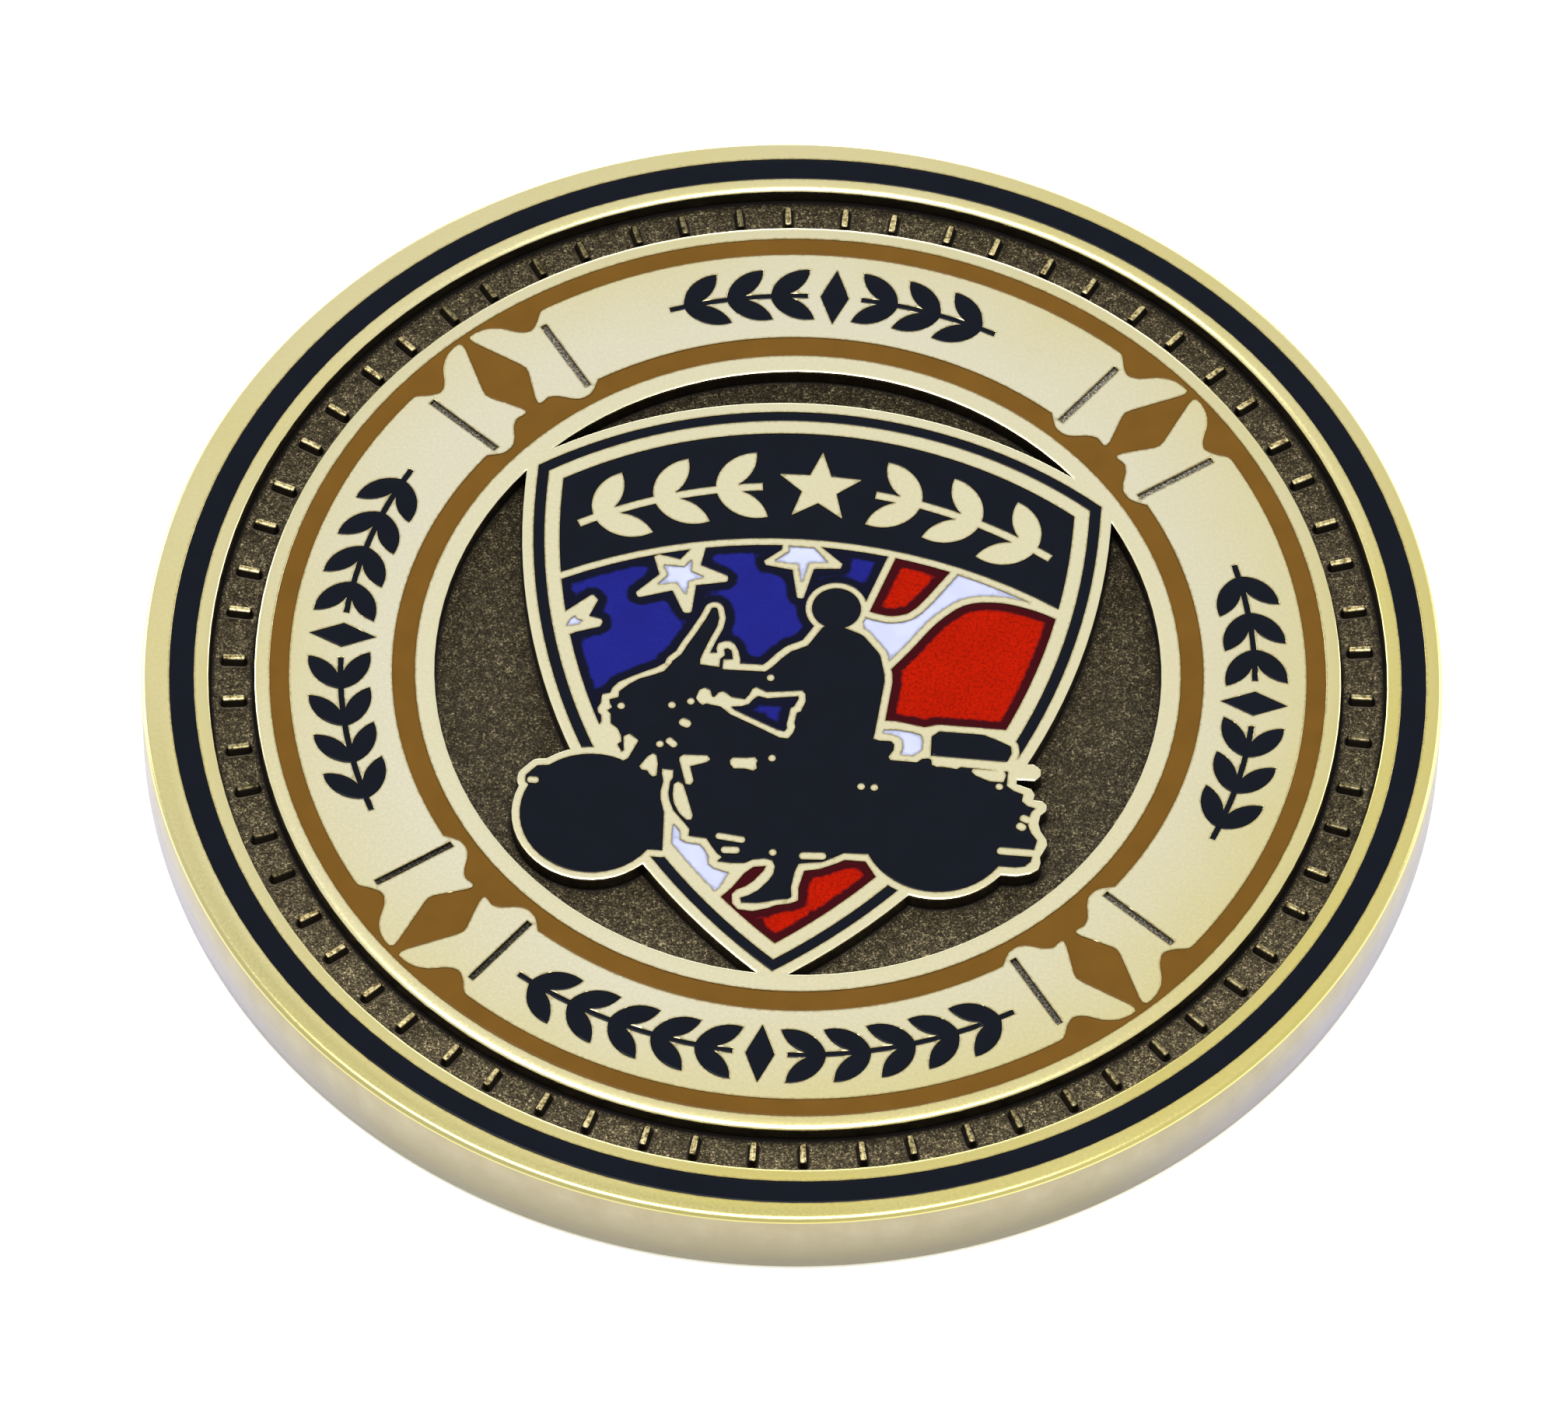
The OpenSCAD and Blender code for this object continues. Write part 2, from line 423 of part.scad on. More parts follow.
// Arc of a circle from angle a0 to angle a1
function arc(centre, r, a0, a1) = let (steps = max(1, ceil(abs(a1 - a0) / arc_step)))
    [for (k = [0:steps]) centre + from_polar(a0 + (a1 - a0) * k / steps, r)];

// Smooth curve through every given point
function curve(pts, steps) = let (last = len(pts) - 1) concat(
    [for (i = [0:last - 1], k = [0:steps - 1])
        let (
            t = k / steps,
            p0 = pts[i],
            p1 = pts[i + 1],
            m0 = (p1 - pts[max(i - 1, 0)]) / (i == 0 ? 1 : 2),
            m1 = (pts[min(i + 2, last)] - p0) / (i + 1 == last ? 1 : 2)
        )
        (2 * t^3 - 3 * t^2 + 1) * p0 + (t^3 - 2 * t^2 + t) * m0
            + (3 * t^2 - 2 * t^3) * p1 + (t^3 - t^2) * m1],
    [pts[last]]
);

// A curve moved sideways, to the right of its direction of travel
function shifted(pts, d) = let (last = len(pts) - 1)
    [for (i = [0:last]) pts[i] + d * outward(unit(pts[min(i + 1, last)] - pts[max(i - 1, 0)]))];

// One rounded corner at b of a counter-clockwise outline that is grown by g
function corner(a, b, c, r, g) = let (
    d1 = unit(b - a),
    d2 = unit(c - b),
    turn = atan2(d1[0] * d2[1] - d1[1] * d2[0], d1 * d2),
    side = turn > 0 ? 1 : -1,
    n1 = outward(d1),
    tip = b + g * (n1 + outward(d2)) / (1 + n1 * outward(d2)),
    round_r = max(r + side * g, 0.02),
    centre = tip - d1 * round_r * tan(abs(turn) / 2) - side * round_r * n1,
    steps = max(1, ceil(abs(turn) / corner_step))
) [for (k = [0:steps]) centre + side * round_r * spun(n1, turn * k / steps)];

// Outline with rounded corners, grown by g on every side
function outline(corners, g = 0) = let (n = len(corners), xy = [for (c = corners) [c[0], c[1]]])
    [for (i = [0:n - 1]) each corner(xy[(i + n - 1) % n], xy[i], xy[(i + 1) % n], corners[i][2], g)];

// Outline of the shield's black line, moved inwards by d
function shield_outline(d) = let (
    half_w = shield_half_w - d,
    top_r = shield_top_arc - d,
    flank_r = flank_arc - d,
    corner_a = acos(half_w / top_r),
    flank_end = acos(flank_centre / flank_r),
    right = concat(
        arc([-flank_centre, flank_y], flank_r, -flank_end, 0),
        arc([0, shield_top_centre], top_r, corner_a, 90)
    )
) concat(right, [for (i = [len(right) - 2:-1:1]) [-right[i][0], right[i][1]]]);

// Corners of a five-pointed star, [x, y, corner radius]
function star_corners(at, wider, round_r) = [for (k = [0:9])
    let (
        tip = k % 2 == 0,
        p = from_polar(at[3] + k * 36, (at[2] + wider) * (tip ? 1 : star_waist))
    )
    [at[0] + p[0], at[1] + p[1], tip ? round_r : 0]];

// Outline of a whole ribbon whose middle is at angle a
function ribbon_outline(a) = let (
    tail = concat(curve(tail_inner_edge, 2), tail_fork, curve(tail_outer_edge, 3)),
    end = 45 - tail_outer_edge[len(tail_outer_edge) - 1][0]
) concat(
    [for (p = tail) from_polar(a - 45 + p[0], p[1])],
    arc([0, 0], ribbon_r, a - end + arc_step, a + end - arc_step),
    [for (p = reversed(tail)) from_polar(a + 45 - p[0], p[1])],
    arc([0, 0], ribbon_inner_r, a + end - arc_step, a - end + arc_step)
);

module ring(outer_r, inner_r) {
    difference() {
        circle(outer_r);
        circle(inner_r);
    }
}

// A leaf bounded by two arcs, with its stalk end at the origin and its tip on +X
module leaf(length, width) {
    arc_r = (length^2 + width^2) / (4 * width);
    intersection() {
        translate([length / 2, width / 2 - arc_r]) circle(arc_r);
        translate([length / 2, arc_r - width / 2]) circle(arc_r);
    }
}

// Two leaves that spread from a stem lying along +X
module leaf_pair(length, width, spread = leaf_spread) {
    for (side = [-1, 1])
        rotate(side * spread) leaf(length, width);
}

// Curved stem of a sprig, from angle a0 to angle a1 at radius r
module stem(r, width, a0, a1) {
    polygon(concat(arc([0, 0], r + width / 2, a0, a1), arc([0, 0], r - width / 2, a1, a0)));
}

// A four-cornered lozenge that is taller than it is wide
module lozenge(width, height) {
    polygon([[width / 2, 0], [0, height / 2], [-width / 2, 0], [0, -height / 2]]);
}

module star(at, wider = 0, round_r = 0) {
    polygon(outline(star_corners(at, wider, round_r)));
}

module star_borders() {
    for (border = [star_upper_border, star_middle_border, star_left_border])
        polygon(outline(border));
}

// Enamelled silhouette of the motorcycle and its rider
module rider() {
    for (part = [front_guard, mud_flap, fairing, windscreen, mirror, arm, torso, bodywork, pannier])
        polygon(outline(part));
    translate(front_wheel_at) circle(front_wheel_r);
    translate(rear_wheel_at) circle(rear_wheel_r);
    translate(helmet_at) circle(helmet_r);
}

// The same silhouette with the raised line round it
module rider_raised() {
    rider();
    for (part = [front_guard, mud_flap, arm, torso])
        polygon(outline(part, figure_line));
    polygon(outline(windscreen, thin_line));
    for (part = [fairing_rim, mirror_rim, tail_rim])
        polygon(outline(part));
    translate(front_wheel_at) circle(front_wheel_r + figure_line);
    translate(rear_wheel_at) circle(rear_wheel_r + figure_line);
    translate(helmet_at) circle(helmet_r + thin_line);
}

module trim_details() {
    for (p = lamp_dots)
        translate(p) circle(lamp_dot_r, $fn = 32);
    for (b = trim_bars)
        translate([b[0], b[1]]) rotate(b[4])
            polygon(outline([for (c = [[-1, -1], [1, -1], [1, 1], [-1, 1]])
                [c[0] * b[2] / 2, c[1] * b[3] / 2, 0.47 * b[3]]]));
    for (part = [steering_patch, crown_patch, strut_patch, blade_patch, vent_patch, luggage_patch])
        polygon(outline(part));
    polygon(outline(window_frame));
}

// The shield below the chief, inside the raised inner line
module shield_field() {
    intersection() {
        polygon(shield_outline(shield_inset));
        translate([0, chief_centre]) circle(chief_arc - cell_line);
    }
}

// What lies in front of the shield's cells, with its raised lines
module foreground() {
    rider_raised();
    polygon(outline(top_case, figure_line));
    polygon(outline(rack));
}

// Raised ornament of the chief: a star between laurel leaves
module chief_motif() {
    star([0, chief_motif_y, chief_star_r, 90]);
    translate([0, chief_motif_y - chief_motif_arc])
        for (side = [-1, 1]) {
            stem(chief_motif_arc, chief_stem_w, 90 - side * chief_stem_from, 90 - side * chief_stem_to);
            for (k = [0:2])
                rotate(90 - side * (chief_first_leaf + k * chief_leaf_step))
                    translate([chief_motif_arc, 0])
                        rotate(side * 90)
                            leaf_pair(chief_leaf_l, chief_leaf_w, chief_leaf_spread);
        }
}

// Laurel leaves on one ribbon, pointing at the lozenge in its middle
module panel_motif(a, pairs) {
    rotate(a) translate([ribbon_mid_r, 0]) rotate(90) lozenge(lozenge_w, lozenge_h);
    for (side = [-1, 1]) {
        stem(ribbon_mid_r, stem_w, a + side * stem_gap, a + side * (pairs * leaf_step + stem_tail));
        for (k = [1:pairs])
            rotate(a + side * (k * leaf_step + first_leaf))
                translate([ribbon_mid_r, 0])
                    rotate(-side * 90)
                        leaf_pair(leaf_length, leaf_w);
    }
}

module ribbons() {
    for (a = [0:90:270])
        polygon(ribbon_outline(a));
}

module slits() {
    for (a = [45:90:315], side = [-1, 1])
        rotate(a + side * slit_angle)
            translate([ribbon_inner_r - 0.08, -slit_w / 2])
                square([ribbon_r - ribbon_inner_r - 0.5, slit_w]);
}

// Enamel cells of the obverse, one module per colour field
module scroll_cell() {
    difference() {
        ring(scroll_r, scroll_inner_r);
        ribbons();
    }
}

module border_cell() {
    difference() {
        polygon(shield_outline(0));
        polygon(shield_outline(shield_black_line));
        foreground();
    }
}

module border_upper_cell() {
    intersection() {
        border_cell();
        translate([-coin_r, -5]) square([coin_d, coin_r]);
    }
}

module border_lower_cell() {
    intersection() {
        border_cell();
        translate([-coin_r, -5 - coin_r]) square([coin_d, coin_r]);
    }
}

module chief_cell() {
    difference() {
        polygon(shield_outline(shield_inset));
        translate([0, chief_centre]) circle(chief_arc);
        chief_motif();
    }
}

module blue_main_cell() {
    hoist = shifted(hoist_line, cell_line / 2);
    difference() {
        intersection() {
            shield_field();
            polygon(concat(hoist, [[0.5, -2.9], [-9.5, -5], [-9.5, 7]]));
        }
        foreground();
        star_borders();
    }
}

module blue_window_cell() {
    polygon(outline(window_glass));
}

module red_small_cell() {
    intersection() {
        shield_field();
        polygon(concat(shifted(hoist_line, -cell_line / 2), [[6, 2], [6, 6]]));
        polygon(concat(shifted(curve(upper_wave, 4), cell_line / 2), [[1, 3], [1, 6], [5, 6]]));
    }
}

module white_upper_cell() {
    difference() {
        intersection() {
            shield_field();
            polygon(concat(
                shifted(curve(upper_wave, 4), -cell_line / 2),
                reversed(shifted(curve(lower_wave, 4), cell_line / 2))
            ));
        }
        foreground();
    }
}

module red_large_cell() {
    difference() {
        intersection() {
            shield_field();
            polygon(concat(shifted(curve(lower_wave, 4), -cell_line / 2), red_large_foot));
        }
        foreground();
    }
}

module white_seat_cell() {
    polygon(outline(white_seat_shape));
}

module white_lower_cell() {
    intersection() {
        shield_field();
        polygon(outline(white_lower_shape));
    }
}

module red_lower_cell() {
    intersection() {
        shield_field();
        polygon(outline(red_lower_shape));
    }
}

module rider_cell() {
    difference() {
        rider();
        trim_details();
    }
}

module ring_cells() {
    ring(rim_enamel_r, rim_enamel_r - rim_enamel_w);
    scroll_cell();
    panel_motif(90, top_pairs);
    panel_motif(180, left_pairs);
    panel_motif(270, bottom_pairs);
    panel_motif(0, right_pairs);
}

module picture_cells() {
    border_cell();
    chief_cell();
    blue_main_cell();
    blue_window_cell();
    for (cell = [star_upper_cell, star_middle_cell, star_left_cell])
        polygon(outline(cell));
    red_small_cell();
    red_large_cell();
    red_lower_cell();
    white_upper_cell();
    white_seat_cell();
    white_lower_cell();
    rider_cell();
    polygon(outline(top_case));
}

module centre_recess() {
    difference() {
        circle(centre_r);
        translate([picture_x, 0]) {
            polygon(shield_outline(-shield_outer_line));
            foreground();
        }
    }
}

// Reverse: a star inside an open laurel wreath
module wreath() {
    for (side = [-1, 1], k = [0:wreath_pairs - 1])
        rotate(-90 + side * (wreath_gap + k * wreath_step))
            translate([wreath_r, 0])
                rotate(side * 90)
                    leaf_pair(wreath_leaf_l, wreath_leaf_w, wreath_leaf_spread);
}

module reverse_recess() {
    difference() {
        circle(channel_r);
        wreath();
        star([0, 0, reverse_star_r, 90], reverse_border);
    }
}

// The blank with bevelled edges
module blank() {
    rotate_extrude($fn = 180)
        polygon([
            [0, 0],
            [coin_r - edge_bevel, 0],
            [coin_r, edge_bevel],
            [coin_r, coin_t - edge_bevel],
            [coin_r - edge_bevel, coin_t],
            [0, coin_t],
        ]);
}

module bars() {
    floor_z = coin_t - recess_depth;
    translate([strike_x, 0, floor_z - 0.2])
        for (k = [0:bar_pairs - 1], side = [-1, 1])
            rotate(k * 360 / bar_pairs + side * bar_pair_angle / 2)
                translate([bar_mid_r - bar_length / 2, -bar_w / 2])
                    cube([bar_length, bar_w, bar_height + 0.2]);
}

// Cuts a flat shape into the struck face
module sink(depth) {
    translate([strike_x, 0, coin_t - depth]) linear_extrude(depth + 1) children();
}

// Fills a flat shape with enamel, flush with the struck face
module fill(colour) {
    color(colour)
        translate([strike_x, 0, coin_t - enamel_depth])
            linear_extrude(enamel_depth)
                children();
}

// Fills a cell of the picture, which sits a little to the right of the rings
module picture_fill(colour) {
    translate([picture_x, 0, 0]) fill(colour) children();
}

// Cuts and fills flat shapes on the reverse
module reverse_sink() {
    translate([0, 0, -1]) linear_extrude(enamel_depth + 1) children();
}

module reverse_fill(colour) {
    color(colour) linear_extrude(enamel_depth) children();
}

module coin_body() {
    color(plated_gold) {
        difference() {
            blank();
            sink(enamel_depth) ring_cells();
            sink(enamel_depth) translate([picture_x, 0]) picture_cells();
            sink(recess_depth) ring(channel_r, channel_inner_r);
            sink(recess_depth) centre_recess();
            sink(slit_depth) slits();
            reverse_sink() ring(rim_enamel_r, rim_enamel_r - rim_enamel_w);
            reverse_sink() reverse_recess();
            reverse_sink() star([0, 0, reverse_star_r, 90]);
        }
        bars();
    }
}

module rim_enamel() {
    fill(ink_black) ring(rim_enamel_r, rim_enamel_r - rim_enamel_w);
}

module scroll_enamel() {
    fill(scroll_brown) scroll_cell();
}

module panel_inlay(a, pairs) {
    fill(ink_black) panel_motif(a, pairs);
}

module border_enamel_upper() {
    picture_fill(ink_black) border_upper_cell();
}

module border_enamel_lower() {
    picture_fill(ink_black) border_lower_cell();
}

module chief_enamel() {
    picture_fill(ink_black) chief_cell();
}

module blue_main() {
    picture_fill(flag_blue) blue_main_cell();
}

module blue_window() {
    picture_fill(flag_blue) blue_window_cell();
}

module star_enamel(cell) {
    picture_fill(flag_white) polygon(outline(cell));
}

module red_small() {
    picture_fill(flag_red) red_small_cell();
}

module red_large() {
    picture_fill(flag_red) red_large_cell();
}

module red_lower() {
    picture_fill(flag_red) red_lower_cell();
}

module white_upper() {
    picture_fill(flag_white) white_upper_cell();
}

module white_seat() {
    picture_fill(flag_white) white_seat_cell();
}

module white_lower() {
    picture_fill(flag_white) white_lower_cell();
}

module rider_enamel() {
    picture_fill(ink_black) rider_cell();
}

module top_case_enamel() {
    picture_fill(ink_black) polygon(outline(top_case));
}

module reverse_rim_enamel() {
    reverse_fill(ink_black) ring(rim_enamel_r, rim_enamel_r - rim_enamel_w);
}

module reverse_star_enamel() {
    reverse_fill(flag_blue) star([0, 0, reverse_star_r, 90]);
}

coin_body();
rim_enamel();
scroll_enamel();
panel_inlay(90, top_pairs);  // panel_inlay_top
panel_inlay(180, left_pairs);  // panel_inlay_left
panel_inlay(270, bottom_pairs);  // panel_inlay_bottom
panel_inlay(0, right_pairs);  // panel_inlay_right
border_enamel_upper();
border_enamel_lower();
chief_enamel();
blue_main();
blue_window();
star_enamel(star_upper_cell);  // star_upper
star_enamel(star_middle_cell);  // star_middle
star_enamel(star_left_cell);  // star_left
red_small();
red_large();
red_lower();
white_upper();
white_seat();
white_lower();
rider_enamel();
top_case_enamel();
reverse_rim_enamel();
reverse_star_enamel();
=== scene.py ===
import json
import math

import bpy
import numpy as np
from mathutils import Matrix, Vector
from mathutils.bvhtree import BVHTree
from mathutils.geometry import delaunay_2d_cdt


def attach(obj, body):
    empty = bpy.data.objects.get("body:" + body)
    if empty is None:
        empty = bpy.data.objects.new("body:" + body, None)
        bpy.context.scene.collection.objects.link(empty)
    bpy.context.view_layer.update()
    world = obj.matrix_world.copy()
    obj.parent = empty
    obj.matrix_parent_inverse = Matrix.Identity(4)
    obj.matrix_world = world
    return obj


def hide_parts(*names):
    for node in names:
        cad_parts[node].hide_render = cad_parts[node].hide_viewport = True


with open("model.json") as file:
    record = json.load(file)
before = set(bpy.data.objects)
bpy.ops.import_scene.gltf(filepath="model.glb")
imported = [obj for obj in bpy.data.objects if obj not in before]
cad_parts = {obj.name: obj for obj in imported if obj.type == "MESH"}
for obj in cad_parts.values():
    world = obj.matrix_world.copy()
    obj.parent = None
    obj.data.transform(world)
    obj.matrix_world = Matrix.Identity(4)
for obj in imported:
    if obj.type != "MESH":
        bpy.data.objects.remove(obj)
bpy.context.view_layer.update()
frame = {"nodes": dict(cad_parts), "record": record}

MM = 0.001
scene = bpy.context.scene

# The coin's own sizes in mm, as in the CAD model. Heights are measured from the reverse.
COIN_R = 22.225
COIN_T = 3.0
# The struck design sits this far right of the blank's own centre
STRIKE_X = 0.2
# Floors of the recesses, the slits at the ribbons' ends and the enamel pockets
FLOOR_Z = 2.3
SLIT_Z = 2.85
POCKET_Z = 2.5
REVERSE_Z = 0.5
# Inner and outer radius of the enamel ring on the reverse
REVERSE_RING = (20.62, 21.47)
BAR_PAIRS = 33
BAR_PAIR_ANGLE = 5.0
BAR_LENGTH = 0.87
BAR_W = 0.3
BAR_MID_R = 19.285
BAR_TOP_Z = 2.66

# Sizes that only the visual pieces have, in mm
# The rim's rounded edge: where it starts, how far it drops, and its points round the coin
RIM_R = 22.0
RIM_DROP = 0.21
RIM_STEPS = 264
# Rounding of the metal's edges above a recess, how deep on each face, and of a recess's foot
EDGE_ROUND_W = 0.28
OBVERSE_ROUND_H = 0.09
REVERSE_ROUND_H = 0.06
FOOT_ROUND_W = 0.14
FOOT_ROUND_H = 0.07
# Rounding of the metal's edges beside enamel
SEAM_ROUND_W = 0.015
SEAM_ROUND_H = 0.01
# Inside this radius the lines of the shield are thin: less rounding above a recess, none beside
# enamel
FINE_R = 15
FINE_SHARE = 0.4
# How far enamel lies below the metal, the extra dip along its edge and how fast that fades
FILL_SUNK = 0.01
FILL_DIP = 0.028
FILL_DIP_W = 0.03
# No border edge is longer than this
LONGEST_EDGE = 0.45
# Spacing of the grid of points inside a fill
FILL_GRID = 0.7
# Distances are not followed past these
FAR = 9.0
EDGE_MM_MAX = 1.0
# How far a point may be off a height, or off a radius of the reverse's ring, and still be on it
FLAT_WITHIN = 0.005
RING_WITHIN = 0.02
# Points closer than this are one point
SAME_POINT = 1e-6


# ---------------------------------------------------------------- outlines


def flat_border(node, z):
    """The directed border edges of a CAD node's flat faces at height z, in mm."""
    mesh = frame["nodes"][node].data
    co = np.empty(len(mesh.vertices) * 3, np.float32)
    mesh.vertices.foreach_get("co", co)
    co = co.reshape(-1, 3).astype(float) / MM
    flat = np.abs(co[:, 2] - z) < FLAT_WITHIN
    keys = [tuple(k) for k in np.round(co[:, :2], 3).tolist()]
    border = {}
    for face in mesh.polygons:
        ids = list(face.vertices)
        if not all(flat[i] for i in ids):
            continue
        for i, j in zip(ids, ids[1:] + ids[:1]):
            a, b = keys[i], keys[j]
            if a == b:
                continue
            if (b, a) in border:
                del border[(b, a)]
            else:
                border[(a, b)] = True
    return border


def split_long(border, longest):
    """The same border with no edge longer than the given length."""
    out = {}
    for (a, b), kind in border.items():
        n = max(1, math.ceil(math.dist(a, b) / longest))
        pts = [(a[0] + (b[0] - a[0]) * k / n, a[1] + (b[1] - a[1]) * k / n) for k in range(n)] + [b]
        for p, q in zip(pts, pts[1:]):
            out[(p, q)] = kind
    return out


def edge_tree(border):
    """A search tree that gives the distance from a point of the plane to a border."""
    verts, quads = [], []
    for a, b in border:
        k = len(verts)
        verts += [(a[0], a[1], -1), (b[0], b[1], -1), (b[0], b[1], 1), (a[0], a[1], 1)]
        quads.append((k, k + 1, k + 2, k + 3))
    return BVHTree.FromPolygons(verts, quads)


def distance(tree, p):
    """How far a point of the plane is from a border, or FAR where there is no border."""
    if tree is None:
        return FAR
    hit = tree.find_nearest((p[0], p[1], 0.0))
    return FAR if hit[3] is None else hit[3]


# For points at a distance r from the border, as shares of r: how close together two may lie, the
# cells in which they are looked up, the least distance left at a corner, and the length from
# which an edge also has points beside its middle
RING_GAP = 0.4
RING_CELL = 0.5
RING_NEAREST = 0.93
RING_LONG = 1.5
# Cosines of the sharpest and the slightest turn of a border that gets points of its own
SHARPEST_TURN = -0.6
SLIGHTEST_TURN = 0.985


def ring_points(border, tree, left_rings, right_rings):
    """Points that follow the border at set distances to its left and its right."""
    leaving = {a: b for a, b in border}
    kept = []
    seen = {}

    def offer(x, y, r):
        cell = RING_CELL * r
        i, j = int(x // cell), int(y // cell)
        for di in (-1, 0, 1):
            for dj in (-1, 0, 1):
                for q in seen.get((r, i + di, j + dj), ()):
                    if math.dist(q, (x, y)) < RING_GAP * r:
                        return
        if distance(tree, (x, y)) < RING_NEAREST * r:
            return
        seen.setdefault((r, i, j), []).append((x, y))
        kept.append((x, y))

    for (a, b), kind in border.items():
        length = math.dist(a, b)
        n = (-(b[1] - a[1]) / length, (b[0] - a[0]) / length)
        c = leaving.get(b)
        mitre = None
        if c is not None and c != b:
            after = math.dist(b, c)
            m = (-(c[1] - b[1]) / after, (c[0] - b[0]) / after)
            dot = n[0] * m[0] + n[1] * m[1]
            if SHARPEST_TURN < dot < SLIGHTEST_TURN:
                mitre = ((n[0] + m[0]) / (1 + dot), (n[1] + m[1]) / (1 + dot))
        for sign, rings in ((1, left_rings.get(kind, ())), (-1, right_rings.get(kind, ()))):
            for r in rings:
                s = sign * r
                if mitre:
                    offer(b[0] + s * mitre[0], b[1] + s * mitre[1], r)
                    size = math.hypot(*mitre)
                    offer(b[0] + s * mitre[0] / size, b[1] + s * mitre[1] / size, r)
                offer(b[0] + s * n[0], b[1] + s * n[1], r)
                offer(a[0] + s * n[0], a[1] + s * n[1], r)
                if length > RING_LONG * r:
                    offer((a[0] + b[0]) / 2 + s * n[0], (a[1] + b[1]) / 2 + s * n[1], r)
    return kept


# Of a grid of triangles, as shares of its step: the height of a row, and the room it leaves
# between itself and the outermost ring of points
GRID_ROW = 0.866
GRID_CLEAR = 0.3


def grid_points(border, tree, step, margin):
    """Grid points that stay clear of the border."""
    xs = [a[0] for a, b in border]
    ys = [a[1] for a, b in border]
    out = []
    y = min(ys) + 0.5 * step
    row = 0
    while y < max(ys):
        x = min(xs) + (0.5 if row % 2 else 0.0) * step
        while x < max(xs):
            if distance(tree, (x, y)) > margin:
                out.append((x, y))
            x += step
        y += step * GRID_ROW
        row += 1
    return out


def regions_of(triangles, heading, kinds):
    """The region of each triangle: "top" on the left of the border, or on its right the kind of
    the border's edge. It spreads from the border to all triangles that it doesn't part from it.
    """
    owners = {}
    region = [None] * len(triangles)
    start = []
    for t, f in enumerate(triangles):
        for u, v in zip(f, f[1:] + f[:1]):
            owners.setdefault(frozenset((u, v)), []).append(t)
            if (u, v) in heading:
                start.append((t, "top"))
            elif (v, u) in heading:
                start.append((t, kinds[heading[(v, u)]]))
    for first in start:
        stack = [first]
        while stack:
            t, kind = stack.pop()
            if region[t] is not None:
                continue
            region[t] = kind
            f = triangles[t]
            for u, v in zip(f, f[1:] + f[:1]):
                if (u, v) in heading or (v, u) in heading:
                    continue
                for other in owners[frozenset((u, v))]:
                    if region[other] is None:
                        stack.append((other, kind))
    return region


def plane_mesh(border, left_rings, right_rings, grid=0.0):
    """Fills the plane on both sides of a border with triangles.

    Returns the points, the triangles, the region of each triangle, the border's edges as walls
    with their kinds, the border's search tree, and the number that each border point has got.
    """
    tree = edge_tree(border)
    ids = {}
    pts = []
    edges = []
    for a, b in border:
        for p in (a, b):
            if p not in ids:
                ids[p] = len(pts)
                pts.append(p)
        edges.append((ids[a], ids[b]))
    pts += ring_points(border, tree, left_rings, right_rings)
    if grid:
        widest = max(max(rings) for rings in left_rings.values())
        pts += grid_points(border, tree, grid, widest + GRID_CLEAR * grid)
    made = delaunay_2d_cdt([Vector(p) for p in pts], edges, [], 0, SAME_POINT, True)
    points = [(v.x, v.y) for v in made[0]]
    kinds = list(border.values())
    back = {}
    for new, olds in enumerate(made[3]):
        for old in olds:
            back[old] = new
    heading = {}
    for k, (u, v) in enumerate(edges):
        heading[(back[u], back[v])] = k
    triangles = []
    for f in made[2]:
        f = list(f)
        (ax, ay), (bx, by), (cx, cy) = (points[i] for i in f[:3])
        if (bx - ax) * (cy - ay) - (by - ay) * (cx - ax) < 0:
            f.reverse()
        triangles.append(tuple(f))
    region = regions_of(triangles, heading, kinds)
    walls = [(u, v, kinds[k]) for (u, v), k in heading.items()]
    where = {p: back[i] for p, i in ids.items()}
    return points, triangles, region, walls, tree, where


# ------------------------------------------------------------- mesh building


def rounded(d, width, height):
    """How far a rounded edge has dropped at distance d from it."""
    if d >= width:
        return 0.0
    return height * (1 - math.sqrt(max(0.0, 1 - (1 - d / width) ** 2)))


def build(name, verts, faces, slots, materials, edge=None, smooth_angle=40, seam=None):
    """A mesh object from points in mm, riding on the coin."""
    mesh = bpy.data.meshes.new(name)
    mesh.from_pydata([(x * MM, y * MM, z * MM) for x, y, z in verts], [], faces)
    for m in materials:
        mesh.materials.append(m)
    mesh.polygons.foreach_set("material_index", slots)
    for key, values in (("edge", edge), ("seam", seam)):
        if values is not None:
            layer = mesh.attributes.new(key, "FLOAT", "POINT")
            layer.data.foreach_set("value", np.array(values, np.float32))
    mesh.shade_smooth()
    mesh.set_sharp_from_angle(angle=math.radians(smooth_angle))
    mesh.validate()
    mesh.update()
    ob = bpy.data.objects.new(name, mesh)
    scene.collection.objects.link(ob)
    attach(ob, "root")
    return ob


# ---------------------------------------------------------------- materials


def principled(name, **sockets):
    """A new material, its node tree and its Principled shader with the given values."""
    mat = bpy.data.materials.new(name)
    mat.use_nodes = True
    tree = mat.node_tree
    tree.nodes.clear()
    out = tree.nodes.new("ShaderNodeOutputMaterial")
    bsdf = tree.nodes.new("ShaderNodeBsdfPrincipled")
    tree.links.new(bsdf.outputs[0], out.inputs[0])
    for key, value in sockets.items():
        bsdf.inputs[key.replace("_", " ")].default_value = value
    return mat, tree, bsdf


def link(tree, a, b):
    tree.links.new(a, b)


